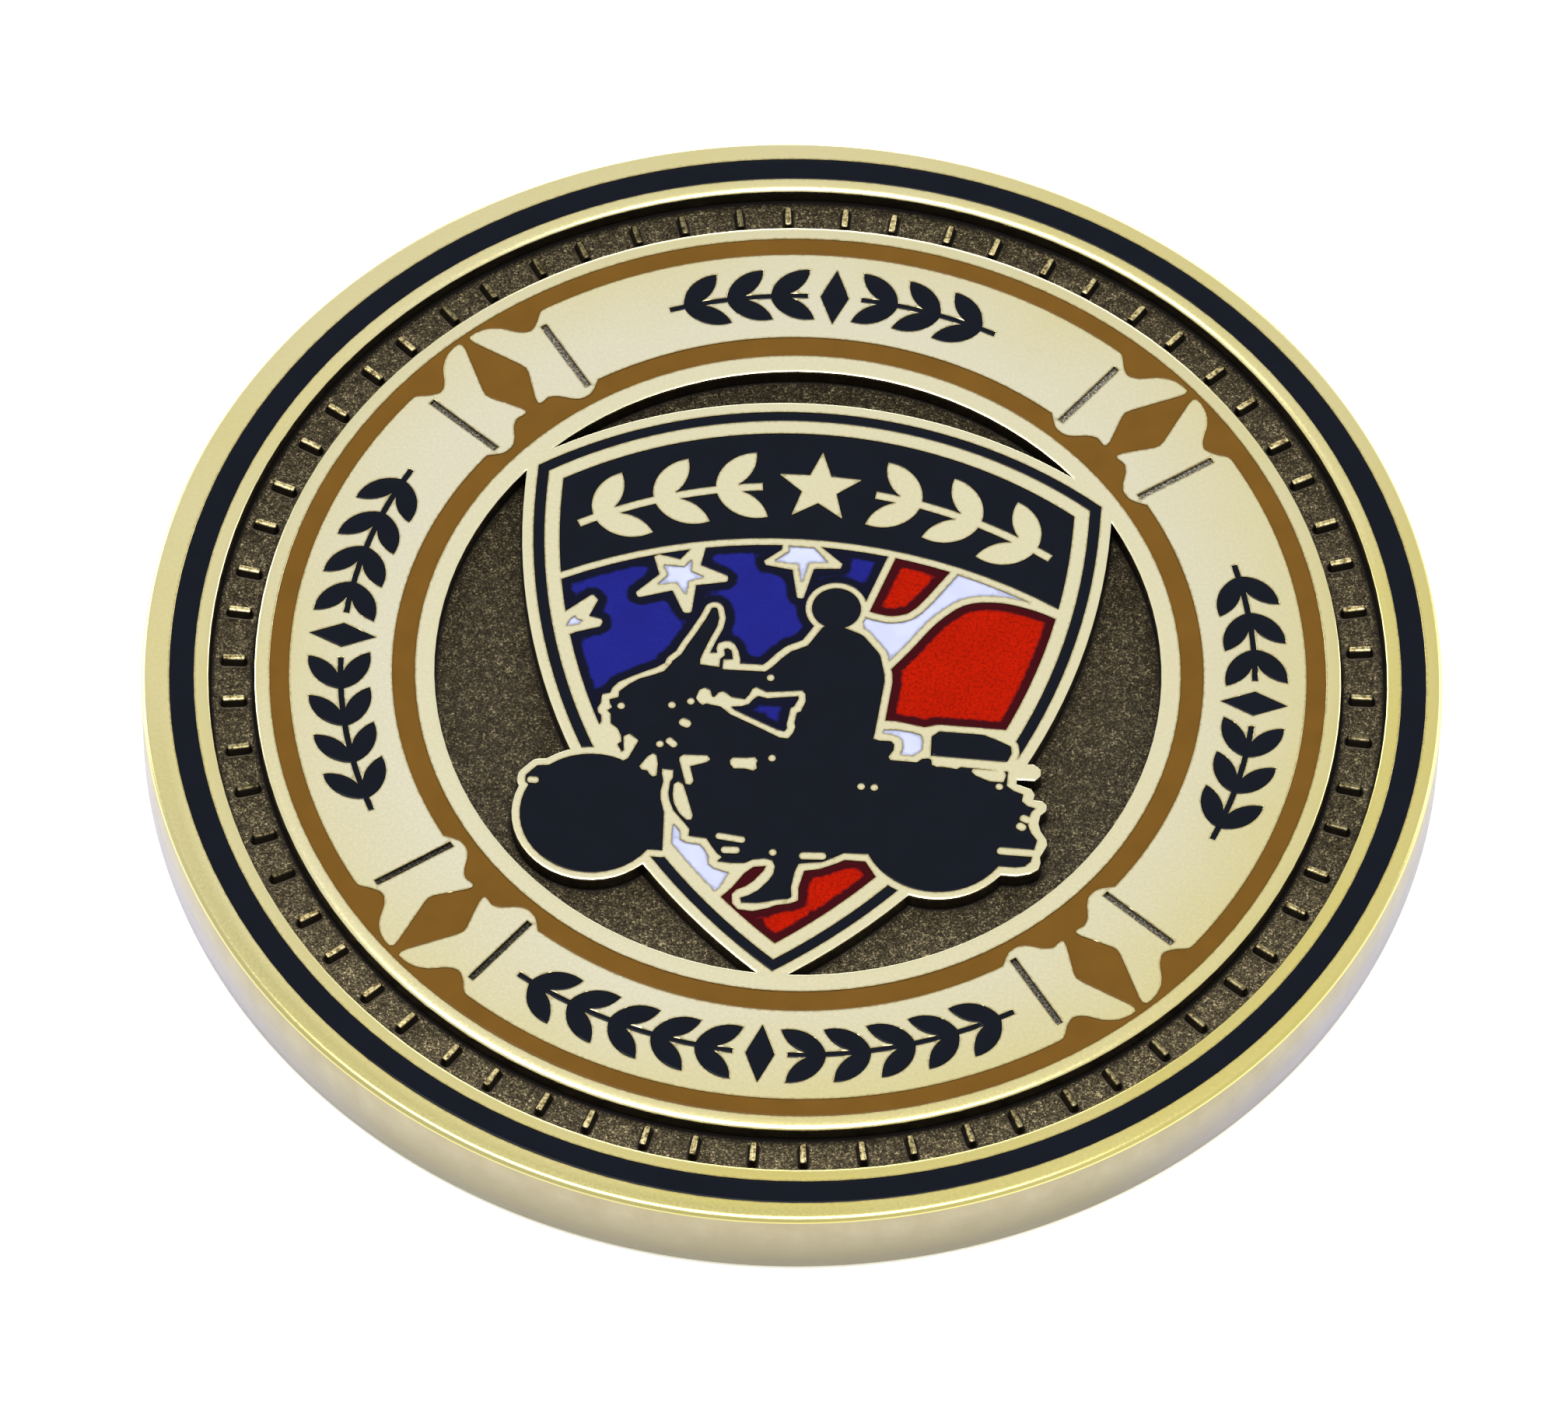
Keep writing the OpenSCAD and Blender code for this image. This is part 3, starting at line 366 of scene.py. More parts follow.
def noise(tree, per_mm, detail=3.0, rough=0.5, stretch=(1, 1, 1)):
    """Noise in the coin's own frame, with its scale for each mm."""
    where = tree.nodes.new("ShaderNodeTexCoord")
    place = tree.nodes.new("ShaderNodeMapping")
    place.inputs["Scale"].default_value = [s * 1000 for s in stretch]
    tex = tree.nodes.new("ShaderNodeTexNoise")
    tex.inputs["Scale"].default_value = per_mm
    tex.inputs["Detail"].default_value = detail
    tex.inputs["Roughness"].default_value = rough
    link(tree, where.outputs["Object"], place.inputs["Vector"])
    link(tree, place.outputs["Vector"], tex.inputs["Vector"])
    return tex.outputs["Fac"]


def ramp(tree, value, stops):
    """Turns a value into a colour, by stops that each have a place and a colour."""
    node = tree.nodes.new("ShaderNodeValToRGB")
    bar = node.color_ramp.elements
    while len(bar) < len(stops):
        bar.new(0.5)
    for item, (at, colour) in zip(bar, stops):
        item.position = at
        item.color = (*colour, 1)
    link(tree, value, node.inputs["Fac"])
    return node.outputs["Color"]


def remap(tree, value, low, high, to_low, to_high):
    """Maps a range of values to another, and holds it at its ends."""
    node = tree.nodes.new("ShaderNodeMapRange")
    node.inputs["From Min"].default_value = low
    node.inputs["From Max"].default_value = high
    node.inputs["To Min"].default_value = to_low
    node.inputs["To Max"].default_value = to_high
    link(tree, value, node.inputs["Value"])
    return node.outputs["Result"]


def maths(tree, operation, a, b):
    """A math node on two values, each a socket or a number."""
    node = tree.nodes.new("ShaderNodeMath")
    node.operation = operation
    for socket, value in zip(node.inputs, (a, b)):
        if isinstance(value, (int, float)):
            socket.default_value = value
        else:
            link(tree, value, socket)
    return node.outputs[0]


def mixed(tree, factor, a, b):
    """Mixes two colours, each a socket or a tuple."""
    node = tree.nodes.new("ShaderNodeMix")
    node.data_type = "RGBA"
    for socket, value in ((node.inputs[0], factor), (node.inputs[6], a), (node.inputs[7], b)):
        if isinstance(value, (int, float)):
            socket.default_value = value
        elif isinstance(value, tuple):
            socket.default_value = (*value, 1)
        else:
            link(tree, value, socket)
    return node.outputs[2]


def bumped(tree, bsdf, height, microns, strength=1.0):
    """Gives a shader a bump of the given height."""
    node = tree.nodes.new("ShaderNodeBump")
    node.inputs["Distance"].default_value = microns * 1e-6
    node.inputs["Strength"].default_value = strength
    link(tree, height, node.inputs["Height"])
    link(tree, node.outputs["Normal"], bsdf.inputs["Normal"])


def attribute(tree, name):
    """A value that each point of the mesh carries."""
    node = tree.nodes.new("ShaderNodeAttribute")
    node.attribute_type = "GEOMETRY"
    node.attribute_name = name
    return node.outputs["Fac"]


def edge_distance(tree):
    """Distance in mm from the nearest wall of a recess, or inside a fill from the metal."""
    return attribute(tree, "edge")


def height_mm(tree):
    """Height in mm above the plane that the coin lies on."""
    where = tree.nodes.new("ShaderNodeTexCoord")
    apart = tree.nodes.new("ShaderNodeSeparateXYZ")
    link(tree, where.outputs["Object"], apart.inputs[0])
    return maths(tree, "MULTIPLY", apart.outputs["Z"], 1000.0)


PALE_GOLD = (0.93, 0.88, 0.64)
WARM_GOLD = (0.93, 0.86, 0.5)
RICH_GOLD = (0.82, 0.71, 0.22)
GOLD_STAIN = (0.84, 0.71, 0.33)
GOLD_SEAM_SHADE = (0.42, 0.33, 0.12)
GOLD_PAINTED_SHADE = (0.55, 0.5, 0.2)


def radius_mm(tree):
    """Distance from the middle of the struck design, in mm."""
    where = tree.nodes.new("ShaderNodeTexCoord")
    flat = tree.nodes.new("ShaderNodeVectorMath")
    flat.operation = "MULTIPLY_ADD"
    flat.inputs[1].default_value = (1000, 1000, 0)
    flat.inputs[2].default_value = (-STRIKE_X, 0, 0)
    size = tree.nodes.new("ShaderNodeVectorMath")
    size.operation = "LENGTH"
    link(tree, where.outputs["Object"], flat.inputs[0])
    link(tree, flat.outputs[0], size.inputs[0])
    return size.outputs["Value"]


def slope_mm(tree, direction):
    """Rises by the given amounts for each mm along X and Y."""
    where = tree.nodes.new("ShaderNodeTexCoord")
    node = tree.nodes.new("ShaderNodeVectorMath")
    node.operation = "DOT_PRODUCT"
    node.inputs[1].default_value = (1000 * direction[0], 1000 * direction[1], 0)
    link(tree, where.outputs["Object"], node.inputs[0])
    return node.outputs["Value"]


def scaled(tree, colour, gain):
    """A colour times a number."""
    node = tree.nodes.new("ShaderNodeVectorMath")
    node.operation = "SCALE"
    link(tree, colour, node.inputs[0])
    link(tree, gain, node.inputs["Scale"])
    return node.outputs["Vector"]


def polished_gold():
    """Gold plating, paler over the middle and richer towards the rim, with faint stains, and with
    painted light and shade: richer towards the right and the bottom, a duller band along the rim
    and dark lines along the seams.
    """
    mat, t, b = principled("gold_polished", Metallic=1.0)
    out = remap(t, radius_mm(t), 14, 20.5, 0.0, 0.72)
    out = maths(t, "ADD", out, remap(t, noise(t, 0.16, 2), 0.3, 0.7, -0.1, 0.12))
    # Painted light: the gold turns richer towards the right and the bottom, for how the light falls
    # across the coin
    out = maths(t, "ADD", out, slope_mm(t, (0.0055, -0.0065)))
    base = mixed(t, out, PALE_GOLD, RICH_GOLD)
    base = mixed(t, remap(t, radius_mm(t), 12.3, 14.2, 0.55, 0.0), base, WARM_GOLD)
    stain = ramp(t, noise(t, 0.9, 5, 0.65), [(0.66, (0, 0, 0)), (0.78, (0.3, 0.3, 0.3))])
    base = mixed(t, stain, base, GOLD_STAIN)
    # Painted shade: a duller band along the rim, on the side towards the lower left, for the darker
    # surroundings that the start of the rounded edge mirrors there
    rim_painted_shade = maths(
        t,
        "MULTIPLY",
        remap(t, radius_mm(t), 21.55, 21.85, 0.0, 1.0),
        remap(t, slope_mm(t, (-0.45, -0.89)), 11, 20, 0.0, 0.6),
    )
    base = mixed(t, rim_painted_shade, base, GOLD_PAINTED_SHADE)
    # Painted shade: the gold darkens in a thin line along its edges beside enamel and slits, for
    # the small step down to them
    seam = maths(t, "ADD", attribute(t, "seam"), remap(t, noise(t, 6, 2), 0.3, 0.7, -0.02, 0.02))
    base = mixed(t, remap(t, seam, 0.0, 0.07, 0.85, 0.0), base, GOLD_SEAM_SHADE)
    link(t, base, b.inputs["Base Color"])
    haze = noise(t, 9, 4, 0.6)
    link(t, remap(t, haze, 0.3, 0.7, 0.16, 0.26), b.inputs["Roughness"])
    bumped(t, b, noise(t, 3.5, 4, 0.55), 1.2, 0.6)
    return mat


def dark_wall():
    """Wall of a recess: almost black, partly from its antique patina and partly as painted shade
    for the dark floor that it mirrors, with gold showing through near the top.
    """
    mat, t, b = principled("antique_shaded_wall", Metallic=1.0)
    up = remap(t, height_mm(t), 2.82, 2.97, 0.0, 1.0)
    worn = maths(t, "ADD", up, remap(t, noise(t, 14, 4, 0.6), 0.3, 0.7, -0.35, 0.35))
    base = ramp(t, worn, [(0.3, (0.05, 0.042, 0.032)), (0.95, (0.5, 0.43, 0.25))])
    link(t, base, b.inputs["Base Color"])
    link(t, remap(t, worn, 0, 1, 0.45, 0.25), b.inputs["Roughness"])
    bumped(t, b, noise(t, 12, 3), 6, 0.7)
    return mat


def blasted_floor():
    """Sandblasted and antiqued floor: dark, with the tips of its grain rubbed back to gold."""
    mat, t, b = principled("antique_floor", Metallic=1.0)
    grain = noise(t, 15, 3, 0.7)
    coarse = noise(t, 3.2, 3, 0.6)
    lit = maths(t, "ADD", grain, remap(t, coarse, 0.3, 0.7, -0.05, 0.05))
    speck = ramp(
        t,
        lit,
        [
            (0.34, (0.02, 0.016, 0.011)),
            (0.5, (0.062, 0.05, 0.03)),
            (0.6, (0.15, 0.122, 0.068)),
            (0.73, (0.72, 0.6, 0.34)),
        ],
    )
    # Darker in the centre than in the channel, and both lighter towards the foot of the design
    gain = maths(
        t,
        "ADD",
        remap(t, radius_mm(t), 13, 18, 0.8, 1.25),
        remap(t, slope_mm(t, (0, -1)), 5, 11, 0.0, 0.5),
    )
    # Painted shade: a near black border, with a smoother surface, along the foot of each wall; it
    # is narrower round the centre
    inward = maths(t, "ADD", edge_distance(t), remap(t, radius_mm(t), 12.5, 14, 0.06, 0.0))
    near = remap(t, inward, 0.07, 0.22, 0.0, 1.0)
    base = mixed(t, near, (0.014, 0.012, 0.011), scaled(t, speck, gain))
    link(t, base, b.inputs["Base Color"])
    link(t, remap(t, near, 0, 1, 0.7, 0.5), b.inputs["Roughness"])
    bumped(t, b, maths(t, "MULTIPLY", grain, near), 45, 1.0)
    return mat


def slit_floor():
    """Grained floor of the slits at the ribbons' ends."""
    mat, t, b = principled("antique_slit", Metallic=1.0)
    grain = noise(t, 13, 4, 0.65)
    tones = [(0.38, (0.05, 0.045, 0.038)), (0.55, (0.2, 0.185, 0.15)), (0.7, (0.6, 0.55, 0.42))]
    base = ramp(t, grain, tones)
    # Painted light and shade: the slits are made darker towards the lower left and lighter towards
    # the upper right, for how they catch the light
    gain = remap(t, slope_mm(t, (0.6, 0.8)), -10, 10, 0.3, 1.4)
    link(t, scaled(t, base, gain), b.inputs["Base Color"])
    b.inputs["Roughness"].default_value = 0.4
    bumped(t, b, grain, 30, 1.0)
    return mat


def rim_side():
    """The plain edge of the coin: a satin finish with fine lines round it, and painted reflections
    low down.
    """
    mat, t, b = principled("gold_satin_edge", Metallic=1.0)
    drift = noise(t, 0.8, 4, 0.6, (1, 1, 0.6))
    base = ramp(t, drift, [(0.3, (0.45, 0.395, 0.25)), (0.7, (0.38, 0.325, 0.19))])
    # Painted reflection: low down, duller in front, for the shaded floor that it mirrors there, and
    # pale lilac at the two sides, for the lighter, bluish surroundings that it mirrors there
    across = remap(t, maths(t, "ABSOLUTE", slope_mm(t, (1, 0)), 0.0), 12, 19, 0.0, 1.0)
    low = mixed(t, across, (0.29, 0.255, 0.165), (0.39, 0.365, 0.41))
    base = mixed(t, remap(t, height_mm(t), 0.5, 2.3, 1.0, 0.0), base, low)
    link(t, base, b.inputs["Base Color"])
    lines = noise(t, 2.0, 4, 0.6, (0.25, 0.25, 12))
    link(t, remap(t, lines, 0.3, 0.7, 0.26, 0.4), b.inputs["Roughness"])
    bumped(t, b, lines, 1.5, 0.5)
    return mat


def enamel(name, main, border=None, border_w=0.0, grain=0.0, dark=None, gloss=0.1, level=0.08):
    """Hard enamel: glassy and smooth, with a darker border along the metal."""
    mat, t, b = principled(name, Roughness=gloss)
    b.inputs["Specular IOR Level"].default_value = level
    cloud = noise(t, 0.9, 3, 0.5)
    dull, bright = (tuple(share * c for c in main) for share in (0.93, 1.06))
    tone = ramp(t, cloud, [(0.3, dull), (0.7, bright)])
    if grain:
        fleck = ramp(t, noise(t, 9, 3, 0.75), [(0.38, (1, 1, 1)), (0.56, (0, 0, 0))])
        tone = mixed(t, maths(t, "MULTIPLY", fleck, grain), tone, dark)
    if border:
        inward = maths(t, "ADD", edge_distance(t), remap(t, noise(t, 4, 2), 0.3, 0.7, -0.03, 0.03))
        tone = mixed(t, remap(t, inward, border_w - 0.05, border_w + 0.05, 0.0, 1.0), border, tone)
    link(t, tone, b.inputs["Base Color"])
    bumped(t, b, noise(t, 1.2, 2), 2.0, 0.5)
    return mat


# Stretches of the channel where the bars get painted shade, for how their rounded tops catch less
# light there: the middle of each, half its width without and with its fade, all in degrees, and
# how bright the bars are there
SHADED_BAR_STRETCHES = (
    (117, 18, 25, 0.3),
    (203, 11, 13.5, 0.17),
    (-8, 5, 8, 0.25),
    (-46, 14, 30, 0.4),
)


def bar_gold():
    """Tops of the small bars: rubbed back to gold in streaks, antiqued between them, and given
    painted shade in some stretches of the channel.
    """
    mat, t, b = principled("antique_bar", Metallic=1.0)
    worn = noise(t, 7, 4, 0.65)
    tones = [(0.38, (0.12, 0.09, 0.04)), (0.47, (0.5, 0.4, 0.18)), (0.6, (0.92, 0.79, 0.4))]
    base = ramp(t, worn, tones)
    gain = 1.0
    # Painted shade: the bars are made duller in each of these stretches
    for heading, full, fade, shaded_gain in SHADED_BAR_STRETCHES:
        a = math.radians(heading)
        toward = maths(t, "DIVIDE", slope_mm(t, (math.cos(a), math.sin(a))), radius_mm(t))
        near, far = math.cos(math.radians(full)), math.cos(math.radians(fade))
        gain = maths(t, "MULTIPLY", remap(t, toward, far, near, 1.0, shaded_gain), gain)
    link(t, scaled(t, base, gain), b.inputs["Base Color"])
    link(t, remap(t, worn, 0.3, 0.7, 0.42, 0.22), b.inputs["Roughness"])
    bumped(t, b, worn, 14, 1.0)
    return mat


gold = polished_gold()
wall = dark_wall()
bar_top = bar_gold()
blasted = blasted_floor()
slit = slit_floor()
edge_gold = rim_side()
black = enamel("enamel_black", (0.0043, 0.0059, 0.0101))
brown = enamel("enamel_brown", (0.152, 0.072, 0.0095), gloss=0.12)
blue = enamel(
    "enamel_blue",
    (0.0108, 0.013, 0.185),
    border=(0.003, 0.004, 0.014),
    border_w=0.33,
    grain=0.4,
    dark=(0.008, 0.009, 0.13),
)
red = enamel(
    "enamel_red",
    (0.43, 0.0085, 0.0004),
    border=(0.042, 0.003, 0.005),
    border_w=0.33,
    grain=0.75,
    dark=(0.2, 0.005, 0.0006),
    level=0.03,
)
white = enamel(
    "enamel_white", (0.53, 0.56, 0.72), border=(0.3, 0.32, 0.44), border_w=0.06, gloss=0.12
)


# ---------------------------------------------------------------- coin body


def circle_border(r, steps):
    """The border of a circle round the blank's centre, and its points in order."""
    turns = [2 * math.pi * k / steps for k in range(steps)]
    pts = [(r * math.cos(a), r * math.sin(a)) for a in turns]
    return {(a, b): "rim" for a, b in zip(pts, pts[1:] + pts[:1])}, pts


def face_border(z, floors):
    """The raised flat of one face of the coin: its border edges, each with what lies beyond it."""
    raised = flat_border("coin_body", z)
    beyond = {}
    for kind, floor_z in floors.items():
        for a, b in flat_border("coin_body", floor_z):
            beyond[(b, a)] = kind
    out = {}
    for a, b in raised:
        if (a, b) in beyond:
            out[(a, b)] = beyond[(a, b)]
    return out


# Distances from the border at which the mesh has points, on the metal's side and beyond it
TOP_RINGS = {
    "recess": (0.02, 0.06, 0.12, 0.19, 0.28),
    "pocket": (0.01, 0.03, 0.1),
    "slit": (0.01, 0.03, 0.1),
}
FLOOR_RINGS = {"recess": (0.07, 0.14, 0.24, 0.36), "slit": (), "pocket": ()}

verts, faces, slots, edge_mm, seam_mm = [], [], [], [], []
GOLD_SLOT, WALL_SLOT, FLOOR_SLOT, SLIT_SLOT, SIDE_SLOT = range(5)
BODY_MATERIALS = [gold, wall, blasted, slit, edge_gold]


def face_of_coin(border, levels, z_of, flip, round_deep):
    """Adds one face of the coin to the body mesh, and returns its rim points in order."""
    rim, rim_pts = circle_border(RIM_R, RIM_STEPS)
    border = split_long(border, LONGEST_EDGE)
    deep = {e: k for e, k in border.items() if k == "recess"}
    near_deep = edge_tree(deep) if deep else None
    shallow = {e: k for e, k in border.items() if k != "recess"}
    near_shallow = edge_tree(shallow) if shallow else None
    whole = dict(border)
    whole.update(rim)
    points, triangles, region, walls, _, where = plane_mesh(whole, TOP_RINGS, FLOOR_RINGS)
    made = {}

    def vertex(i, kind):
        if (i, kind) in made:
            return made[(i, kind)]
        x, y = points[i]
        d = distance(near_deep, (x, y))
        seam = distance(near_shallow, (x, y))
        if kind == "top":
            outer = math.hypot(x - STRIKE_X, y) > FINE_R
            soft = 1.0 if outer else FINE_SHARE
            depth = rounded(d, EDGE_ROUND_W * soft, round_deep * soft * soft)
            if outer:
                depth += rounded(seam, SEAM_ROUND_W, SEAM_ROUND_H)
        elif kind == "recess":
            depth = levels[kind] - rounded(d, FOOT_ROUND_W, FOOT_ROUND_H)
        else:
            depth = levels[kind]
        made[(i, kind)] = len(verts)
        verts.append((x, y, z_of(depth)))
        edge_mm.append(min(d, EDGE_MM_MAX))
        seam_mm.append(min(seam, EDGE_MM_MAX))
        return made[(i, kind)]

    slot_of = {"top": GOLD_SLOT, "recess": FLOOR_SLOT, "slit": SLIT_SLOT, "pocket": WALL_SLOT}
    for f, kind in zip(triangles, region):
        if kind == "rim" or kind is None:
            continue
        ids = [vertex(i, kind) for i in f]
        faces.append(tuple(reversed(ids)) if flip else tuple(ids))
        slots.append(slot_of[kind])
    for u, v, kind in walls:
        if kind == "rim":
            continue
        quad = [vertex(u, "top"), vertex(u, kind), vertex(v, kind), vertex(v, "top")]
        faces.append(tuple(reversed(quad)) if flip else tuple(quad))
        slots.append(WALL_SLOT)
    return [made[(where[p], "top")] for p in rim_pts]


def reverse_border():
    """The same for the reverse: its ring and its star are enamel pockets, and the rest a recess."""
    raised = flat_border("coin_body", 0.0)
    out = {}
    for a, b in flat_border("coin_body", REVERSE_Z):
        if (b, a) in raised:
            ring = min(abs(math.hypot(*a) - r) for r in REVERSE_RING) < RING_WITHIN
            out[(a, b)] = "pocket" if ring else "recess"
    for a, b in flat_border("reverse_star_enamel", 0.0):
        for e in ((a, b), (b, a)):
            if e in out:
                out[e] = "pocket"
    return out


top_rim = face_of_coin(
    face_border(COIN_T, {"pocket": POCKET_Z, "recess": FLOOR_Z, "slit": SLIT_Z}),
    {"pocket": COIN_T - POCKET_Z, "recess": COIN_T - FLOOR_Z, "slit": COIN_T - SLIT_Z},
    lambda depth: COIN_T - depth,
    False,
    OBVERSE_ROUND_H,
)
low_rim = face_of_coin(
    reverse_border(),
    {"pocket": REVERSE_Z, "recess": REVERSE_Z},
    lambda depth: depth,
    True,
    REVERSE_ROUND_H,
)


def rim_point(k):
    """Step k of the rim's rounded edge, 15 degrees each: its radius, and how far it has dropped."""
    a = math.radians(15 * k)
    return RIM_R + (COIN_R - RIM_R) * math.sin(a), RIM_DROP * (1 - math.cos(a))


# The edge of the coin, from the rounded rim of one face to that of the other
profile = []
for k in range(1, 7):
    r, drop = rim_point(k)
    profile.append((r, COIN_T - drop))
for k in range(1, 4):
    profile.append((COIN_R, COIN_T / 2 + (COIN_T / 2 - RIM_DROP) * (1 - k / 2)))
for k in range(5, 0, -1):
    profile.append(rim_point(k))
rows = [top_rim]
for r, z in profile:
    row = []
    for k in range(RIM_STEPS):
        a = 2 * math.pi * k / RIM_STEPS
        row.append(len(verts))
        verts.append((r * math.cos(a), r * math.sin(a), z))
        edge_mm.append(EDGE_MM_MAX)
        seam_mm.append(EDGE_MM_MAX)
    rows.append(row)
rows.append(low_rim)
for i, (upper, lower) in enumerate(zip(rows, rows[1:])):
    # The satin side: the upright part, and the steepest steps of the two rounded edges
    side = 5 <= i <= len(rows) - 6
    for k in range(RIM_STEPS):
        n = (k + 1) % RIM_STEPS
        faces.append((upper[k], lower[k], lower[n], upper[n]))
        slots.append(SIDE_SLOT if side else GOLD_SLOT)

body = build("struck_body", verts, faces, slots, BODY_MATERIALS, edge_mm, 40, seam_mm)
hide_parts("coin_body")

# ---------------------------------------------------------------- small bars

# Heights of a bar's levels, each with how far its outline is drawn in there
BAR_LEVELS = [
    (2.24, -0.08),
    (2.303, -0.07),
    (2.312, -0.03),
    (2.4, -0.005),
    (2.58, 0.025),
    (2.63, 0.05),
    (2.655, 0.08),
    (BAR_TOP_Z, 0.11),
]
# The levels that are wall, counted from the foot
BAR_WALLS = 5
BAR_CORNER = 0.11


def bar_outline(turn, z, inset):
    """One level of a bar: a rectangle with round corners, turned to its place in the channel."""
    half_l, half_w = BAR_LENGTH / 2 - inset, BAR_W / 2 - inset
    corner = min(max(BAR_CORNER - inset, 0.03), half_w - 0.001)
    cosine, sine = math.cos(turn), math.sin(turn)
    out = []
    for quarter in range(4):
        cx = (half_l - corner) * (1 if quarter in (0, 3) else -1)
        cy = (half_w - corner) * (1 if quarter in (0, 1) else -1)
        for step in range(4):
            a = math.radians(90 * quarter + 30 * step)
            x, y = cx + corner * math.cos(a) + BAR_MID_R, cy + corner * math.sin(a)
            out.append((x * cosine - y * sine + STRIKE_X, x * sine + y * cosine, z))
    return out


bar_verts, bar_faces, bar_slots = [], [], []
for k in range(BAR_PAIRS):
    for side in (-1, 1):
        turn = math.radians(k * 360 / BAR_PAIRS + side * BAR_PAIR_ANGLE / 2)
        rows = []
        for z, inset in BAR_LEVELS:
            outline = bar_outline(turn, z, inset)
            rows.append(list(range(len(bar_verts), len(bar_verts) + len(outline))))
            bar_verts += outline
        n = len(rows[0])
        for i, (low, high) in enumerate(zip(rows, rows[1:])):
            for j in range(n):
                bar_faces.append((low[j], low[(j + 1) % n], high[(j + 1) % n], high[j]))
                bar_slots.append(1 if i < BAR_WALLS else 0)
        bar_faces.append(tuple(rows[-1]))
        bar_slots.append(0)
        bar_faces.append(tuple(reversed(rows[0])))
        bar_slots.append(1)
edge_of_bars = [0.0] * len(bar_verts)
bars = build(
    "raised_bars", bar_verts, bar_faces, bar_slots, [bar_top, wall], edge_of_bars, 50
)
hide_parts("coin_body")

# ---------------------------------------------------------------- enamel fills

# Distances from the border at which a fill has points
FILL_RINGS = (0.02, 0.06, 0.15, 0.3, 0.45)


def fill_piece(node, material, reverse_side=False):
    """An enamel fill with a smooth top that dips slightly to the metal round it."""
    border = flat_border(node, 0.0 if reverse_side else COIN_T)
    if reverse_side:
        border = [(b, a) for a, b in border]
    border = split_long({e: "out" for e in border}, LONGEST_EDGE)
    rings = {"out": FILL_RINGS}
    points, triangles, region, walls, tree, _ = plane_mesh(border, rings, {}, FILL_GRID)
    verts, faces, slots, edge = [], [], [], []
    made = {}

    def vertex(i, level):
        if (i, level) in made:
            return made[(i, level)]
        x, y = points[i]
        d = distance(tree, (x, y))
        depth = FILL_SUNK + FILL_DIP * math.exp(-d / FILL_DIP_W)
        if level == "bottom":
            depth = COIN_T - POCKET_Z
        made[(i, level)] = len(verts)
        verts.append((x, y, depth if reverse_side else COIN_T - depth))
        edge.append(min(d, EDGE_MM_MAX))
        return made[(i, level)]

    for f, kind in zip(triangles, region):
        if kind != "top":
            continue
        upper = [vertex(i, "top") for i in f]
        lower = [vertex(i, "bottom") for i in f]
        lower.reverse()
        for ids in (upper, lower):
            faces.append(tuple(reversed(ids)) if reverse_side else tuple(ids))
            slots.append(0)
    for u, v, kind in walls:
        quad = [vertex(u, "top"), vertex(u, "bottom"), vertex(v, "bottom"), vertex(v, "top")]
        faces.append(tuple(reversed(quad)) if reverse_side else tuple(quad))
        slots.append(0)
    piece = build(node + "_fill", verts, faces, slots, [material], edge)
    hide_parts(node)


COLOURS = {
    "black_enamel": black,
    "brown_enamel": brown,
    "blue_enamel": blue,
    "red_enamel": red,
    "white_enamel": white,
}
for part in frame["record"]["subparts"]:
    node, slot_name = part["node"], part["material_slot"]
    if node != "coin_body":
        fill_piece(node, COLOURS[slot_name], node.startswith("reverse_"))

# ---------------------------------------------------------------- floor, light and camera

# In metres: half the floor's width, and its height just below the coin
FLOOR_HALF = 3.0
FLOOR_BELOW = -2e-5


def pale_floor():
    """A nearly white floor that glows a little, so that it comes out paper white."""
    mat, t, b = principled("studio_floor", Roughness=0.6)
    b.inputs["Specular IOR Level"].default_value = 0.1
    tone = ramp(t, noise(t, 0.01, 2), [(0.3, (0.93, 0.93, 0.94)), (0.7, (0.95, 0.95, 0.96))])
    link(t, tone, b.inputs["Base Color"])
    b.inputs["Emission Color"].default_value = (0.9, 0.93, 1.0, 1)
    b.inputs["Emission Strength"].default_value = 0.3
    return mat


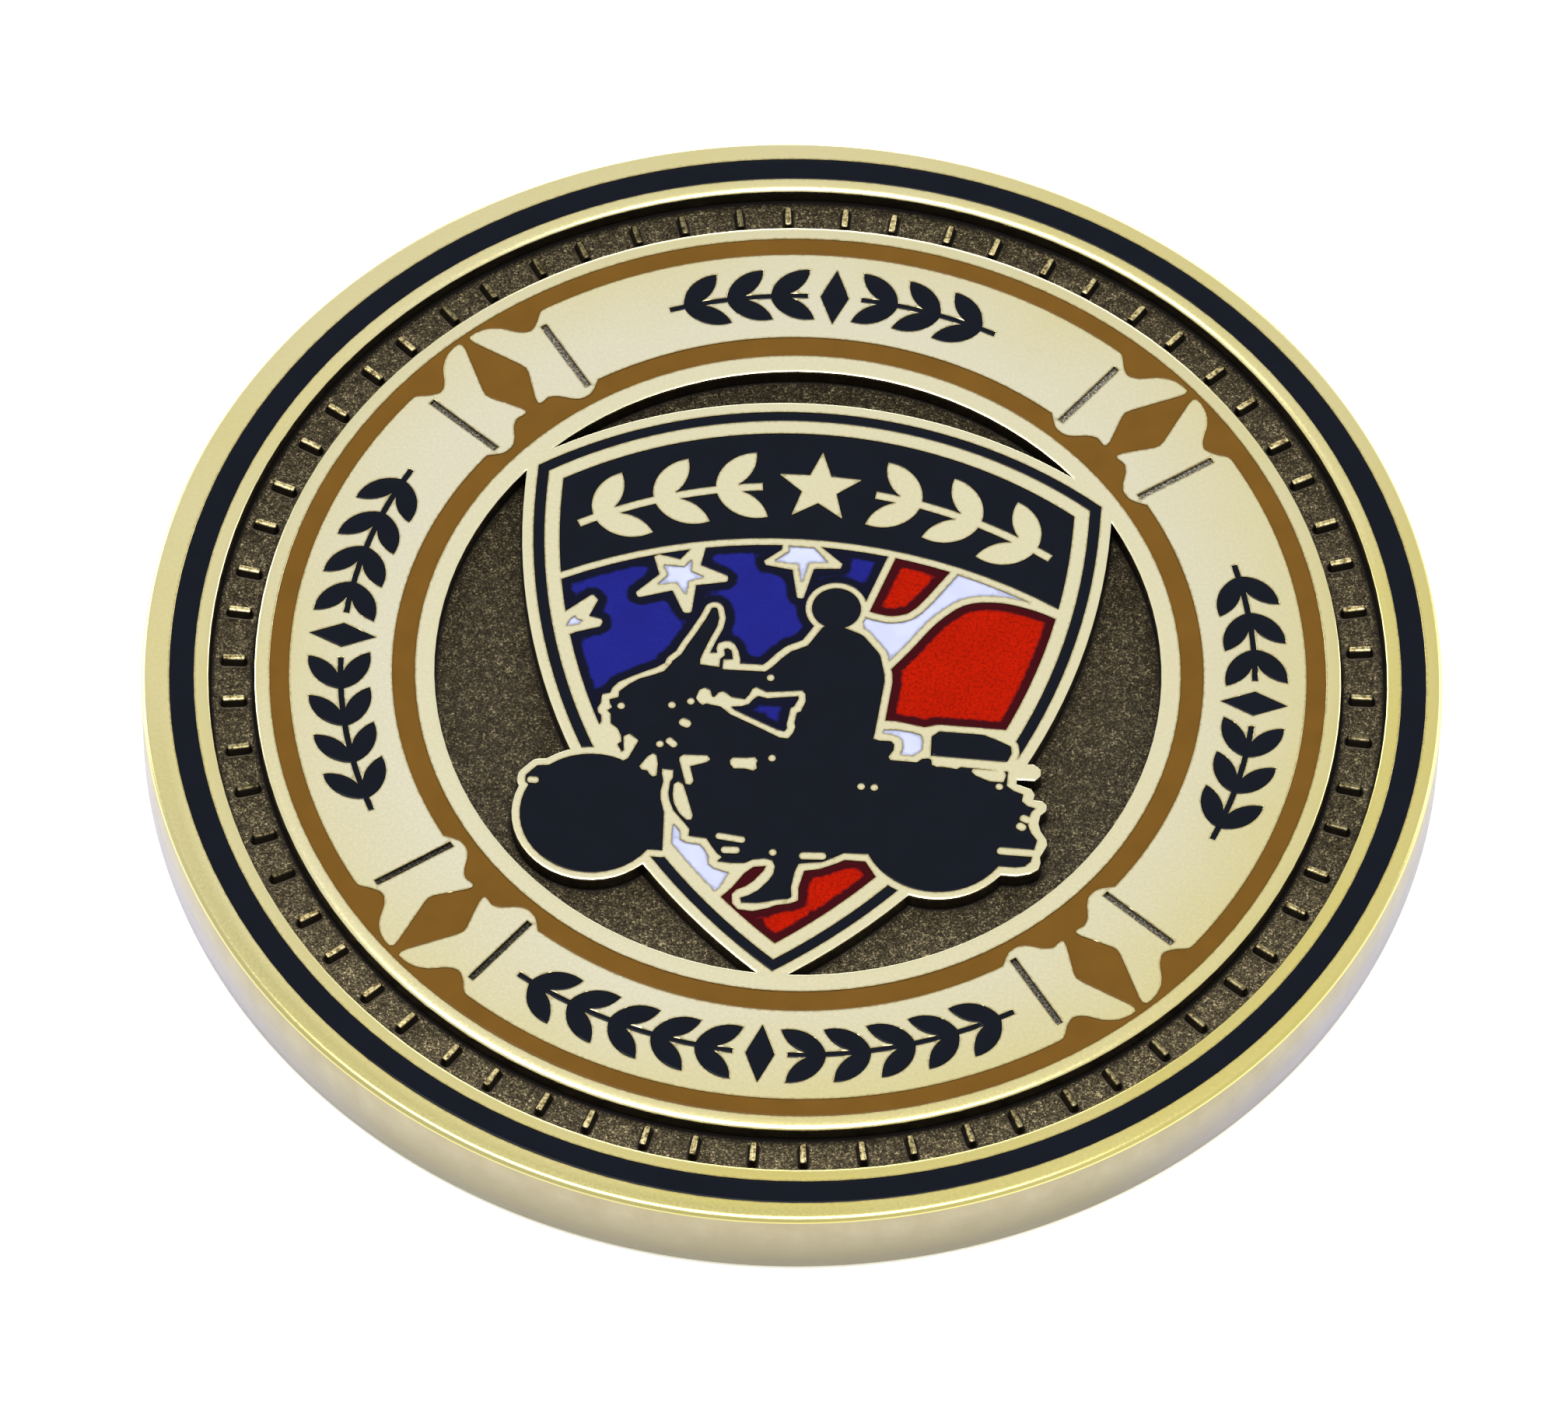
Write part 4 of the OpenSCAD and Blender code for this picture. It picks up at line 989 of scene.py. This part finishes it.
floor_mesh = bpy.data.meshes.new("studio_floor")
corners = [(-1, -1), (1, -1), (1, 1), (-1, 1)]
floor_mesh.from_pydata(
    [(x * FLOOR_HALF, y * FLOOR_HALF, FLOOR_BELOW) for x, y in corners], [], [(0, 1, 2, 3)]
)
floor_mesh.materials.append(pale_floor())
floor = bpy.data.objects.new("studio_floor", floor_mesh)
scene.collection.objects.link(floor)

world = bpy.data.worlds.new("studio")
world.use_nodes = True
background = world.node_tree.nodes["Background"]
background.inputs["Color"].default_value = (0.97, 0.97, 1.0, 1)
background.inputs["Strength"].default_value = 0.8
scene.world = world


def softbox(name, place, size, watts, colour=(1, 1, 1)):
    """A rectangular lamp, in metres and watts, aimed at the middle of the coin."""
    light = bpy.data.lights.new(name, "AREA")
    light.shape = "RECTANGLE"
    light.size, light.size_y = size
    light.energy = watts
    light.color = colour
    ob = bpy.data.objects.new(name, light)
    ob.location = place
    ob.rotation_mode = "QUATERNION"
    ob.rotation_quaternion = (-Vector(place)).to_track_quat("-Z", "Y")
    scene.collection.objects.link(ob)


softbox("left", (-0.8, 0.5, 0.25), (0.35, 0.35), 1.8, (0.8, 0.87, 1.0))
softbox("right", (0.8, 0.5, 0.25), (0.35, 0.35), 1.1, (0.8, 0.87, 1.0))
softbox("back", (0.0, 0.95, 0.2), (0.6, 0.22), 1.8, (0.85, 0.9, 1.0))
softbox("overhead", (-0.05, -0.06, 0.9), (0.7, 0.42), 5.0)

# The photo's own viewpoint, through a long lens: in mm, degrees and mm
CAMERA_AT = (18.62, -295.763, 443.881)
CAMERA_TURN = (33.7558, -0.7157, 4.7208)
CAMERA_LENS = 357.14
camera = bpy.data.objects.new("camera", bpy.data.cameras.new("camera"))
camera.location = Vector(CAMERA_AT) * MM
camera.rotation_euler = [math.radians(a) for a in CAMERA_TURN]
camera.data.sensor_width = 36
camera.data.lens = CAMERA_LENS
camera.data.clip_start = 0.01
camera.data.clip_end = 20
scene.collection.objects.link(camera)
scene.camera = camera
scene.view_settings.view_transform = "Standard"
